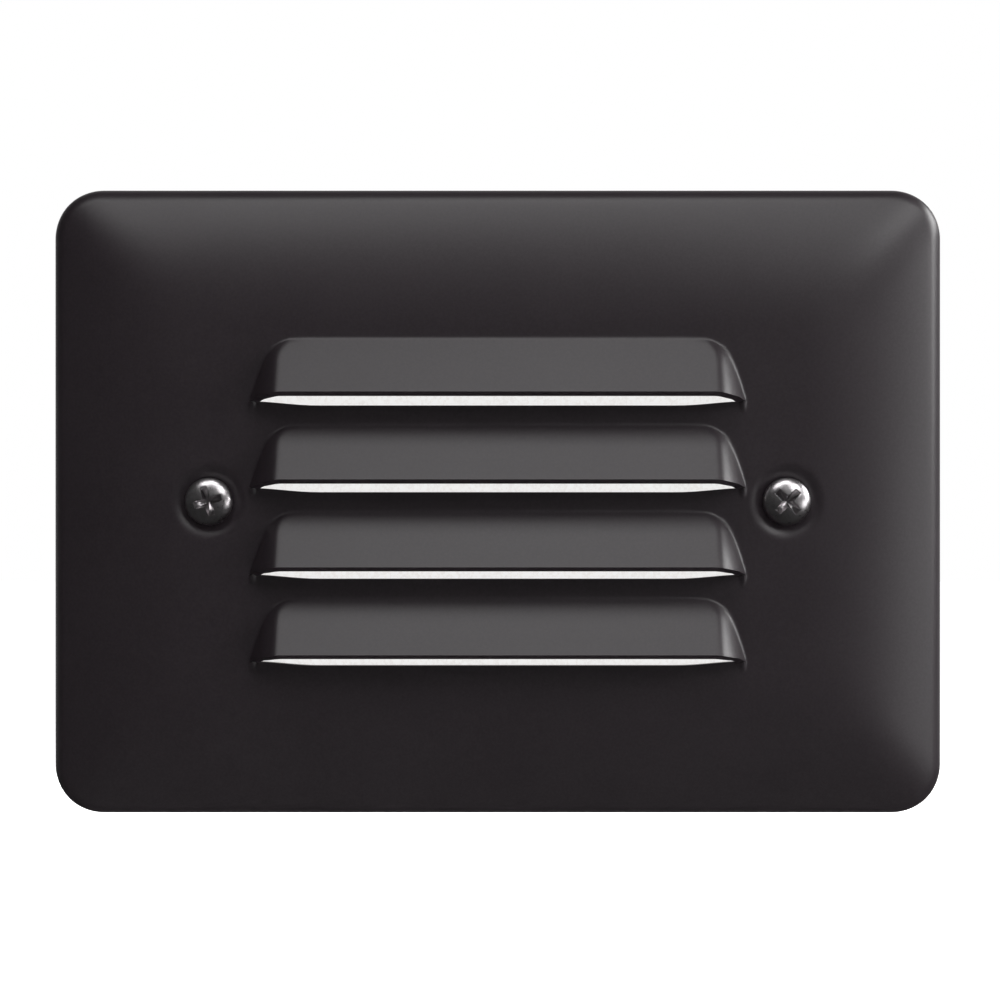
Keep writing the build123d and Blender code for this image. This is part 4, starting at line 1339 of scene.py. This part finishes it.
def glow(name, azimuth, elevation, power):
    """A soft square lamp that faces the middle, azimuth from the front round to the right."""
    lamp = bpy.data.lights.new(name, "AREA")
    lamp.shape = "SQUARE"
    lamp.size = LAMP_SIZE
    lamp.energy = power
    turn, rise = radians(azimuth), radians(elevation)
    way = Vector((sin(turn) * cos(rise), -cos(turn) * cos(rise), sin(rise)))
    holder = linked(name, lamp)
    holder.location = way * LAMP_DISTANCE
    holder.rotation_euler = (-way).to_track_quat("-Z", "Y").to_euler()
    holder.visible_glossy = way.y < BEHIND


def pale_floor():
    """A plain floor that keeps shadows, white to the camera and dark in mirrors at the front."""
    finish = Finish("pale_floor")
    seen, through, mirrored = finish.node(
        "ShaderNodeLightPath", out=("Is Camera Ray", "Is Transmission Ray", "Is Glossy Ray")
    )

    def lit(strength):
        return finish.node("ShaderNodeEmission", None, Color=WHITE, Strength=strength)

    def either(share, first, second):
        return finish.node("ShaderNodeMixShader", None, share, first, second)

    behind = finish.node("ShaderNodeSeparateXYZ", None, finish.place, out="Y")
    span = finish.node("ShaderNodeVectorMath", {"operation": "LENGTH"}, finish.place)
    matt = finish.node("ShaderNodeBsdfDiffuse", None, Color=srgb(236, 236, 235))
    shown = lit(FLOOR_NEAR + FLOOR_FAR * span.ramp(0.35, 0.9))
    both = finish.node("ShaderNodeAddShader", None, matt, shown)
    straight = either((seen + through).least(1), matt, both)
    mirror = lit(MIRROR_FRONT + MIRROR_BEHIND * behind.ramp(0.3, 1.2))
    return finish.done(either(mirrored, straight, mirror))


def studio_world():
    """White wherever the camera looks, dim in front of the object and pale far behind it."""
    world = bpy.data.worlds.new("studio")
    world.use_nodes = True
    sky = Graph(world.node_tree)
    sky.tree.nodes.clear()
    seen, through = sky.node(
        "ShaderNodeLightPath", out=("Is Camera Ray", "Is Transmission Ray")
    )
    way = sky.node("ShaderNodeTexCoord", out="Generated")
    behind = sky.node("ShaderNodeSeparateXYZ", None, way, out="Y").ramp(0.4, 0.95)
    strength = SKY_FRONT + SKY_BEHIND * behind + (seen + through * behind)
    background = sky.node(
        "ShaderNodeBackground", None, Color=WHITE, Strength=strength.least(1)
    )
    sky.node("ShaderNodeOutputWorld", None, Surface=background)
    return world


class STEPLIGHT_OT_stage(LightOperator, bpy.types.Operator):
    """Makes the floor, the lamps, the pale surroundings and the camera"""

    bl_idname = "step_light.stage"
    bl_label = "Stage"

    def execute(self, context):
        scene = context.scene
        shape = bmesh.new()
        bmesh.ops.create_grid(shape, x_segments=1, y_segments=1, size=FLOOR_REACH)
        floor = from_bmesh("floor", shape, clean=False)
        floor.data.transform(Matrix.Translation((0, 0, CAD_BOX[0].z - FLOOR_DROP)))
        floor.data.materials.append(pale_floor())
        for name, place_and_power in LAMPS.items():
            glow(name, *place_and_power)
        scene.world = studio_world()
        scene.view_settings.view_transform = "Standard"
        eye = bpy.data.cameras.new("camera")
        eye.sensor_width = SENSOR
        eye.lens = FOCAL_PIXELS * SENSOR / PHOTO_PIXELS
        holder = linked("camera", eye)
        holder.location = CAMERA_PLACE
        holder.rotation_euler = (radians(90), 0, 0)
        scene.camera = holder
        return {"FINISHED"}


# ---- Panel and registration ----
STEPS = (
    STEPLIGHT_OT_finishes,
    STEPLIGHT_OT_face_plate,
    STEPLIGHT_OT_face_screws,
    STEPLIGHT_OT_small_screws,
    STEPLIGHT_OT_nuts_and_rivets,
    STEPLIGHT_OT_lamp,
    STEPLIGHT_OT_rounded_edges,
    STEPLIGHT_OT_stage,
)


class STEPLIGHT_PT_panel(bpy.types.Panel):
    """Lists the step light's sizes and the steps that make it"""

    bl_idname = "STEPLIGHT_PT_panel"
    bl_label = "Step light"
    bl_space_type = "VIEW_3D"
    bl_region_type = "UI"
    bl_category = "Step light"

    def draw(self, context):
        for name, group in SETTINGS.items():
            box = self.layout.box()
            box.label(text=group.__doc__)
            for field in group.__annotations__:
                box.prop(getattr(context.scene, name), field)
        for step in STEPS:
            self.layout.operator(step.bl_idname)


CLASSES = (*SETTINGS.values(), *STEPS, STEPLIGHT_PT_panel)


def register():
    for cls in CLASSES:
        bpy.utils.register_class(cls)
    for name, group in SETTINGS.items():
        setattr(bpy.types.Scene, name, PointerProperty(type=group))


def unregister():
    for name in SETTINGS:
        delattr(bpy.types.Scene, name)
    for cls in reversed(CLASSES):
        bpy.utils.unregister_class(cls)


def main():
    register()
    for step in STEPS:
        group, name = step.bl_idname.split(".")
        getattr(getattr(bpy.ops, group), name)()


if __name__ == "__main__":
    main()
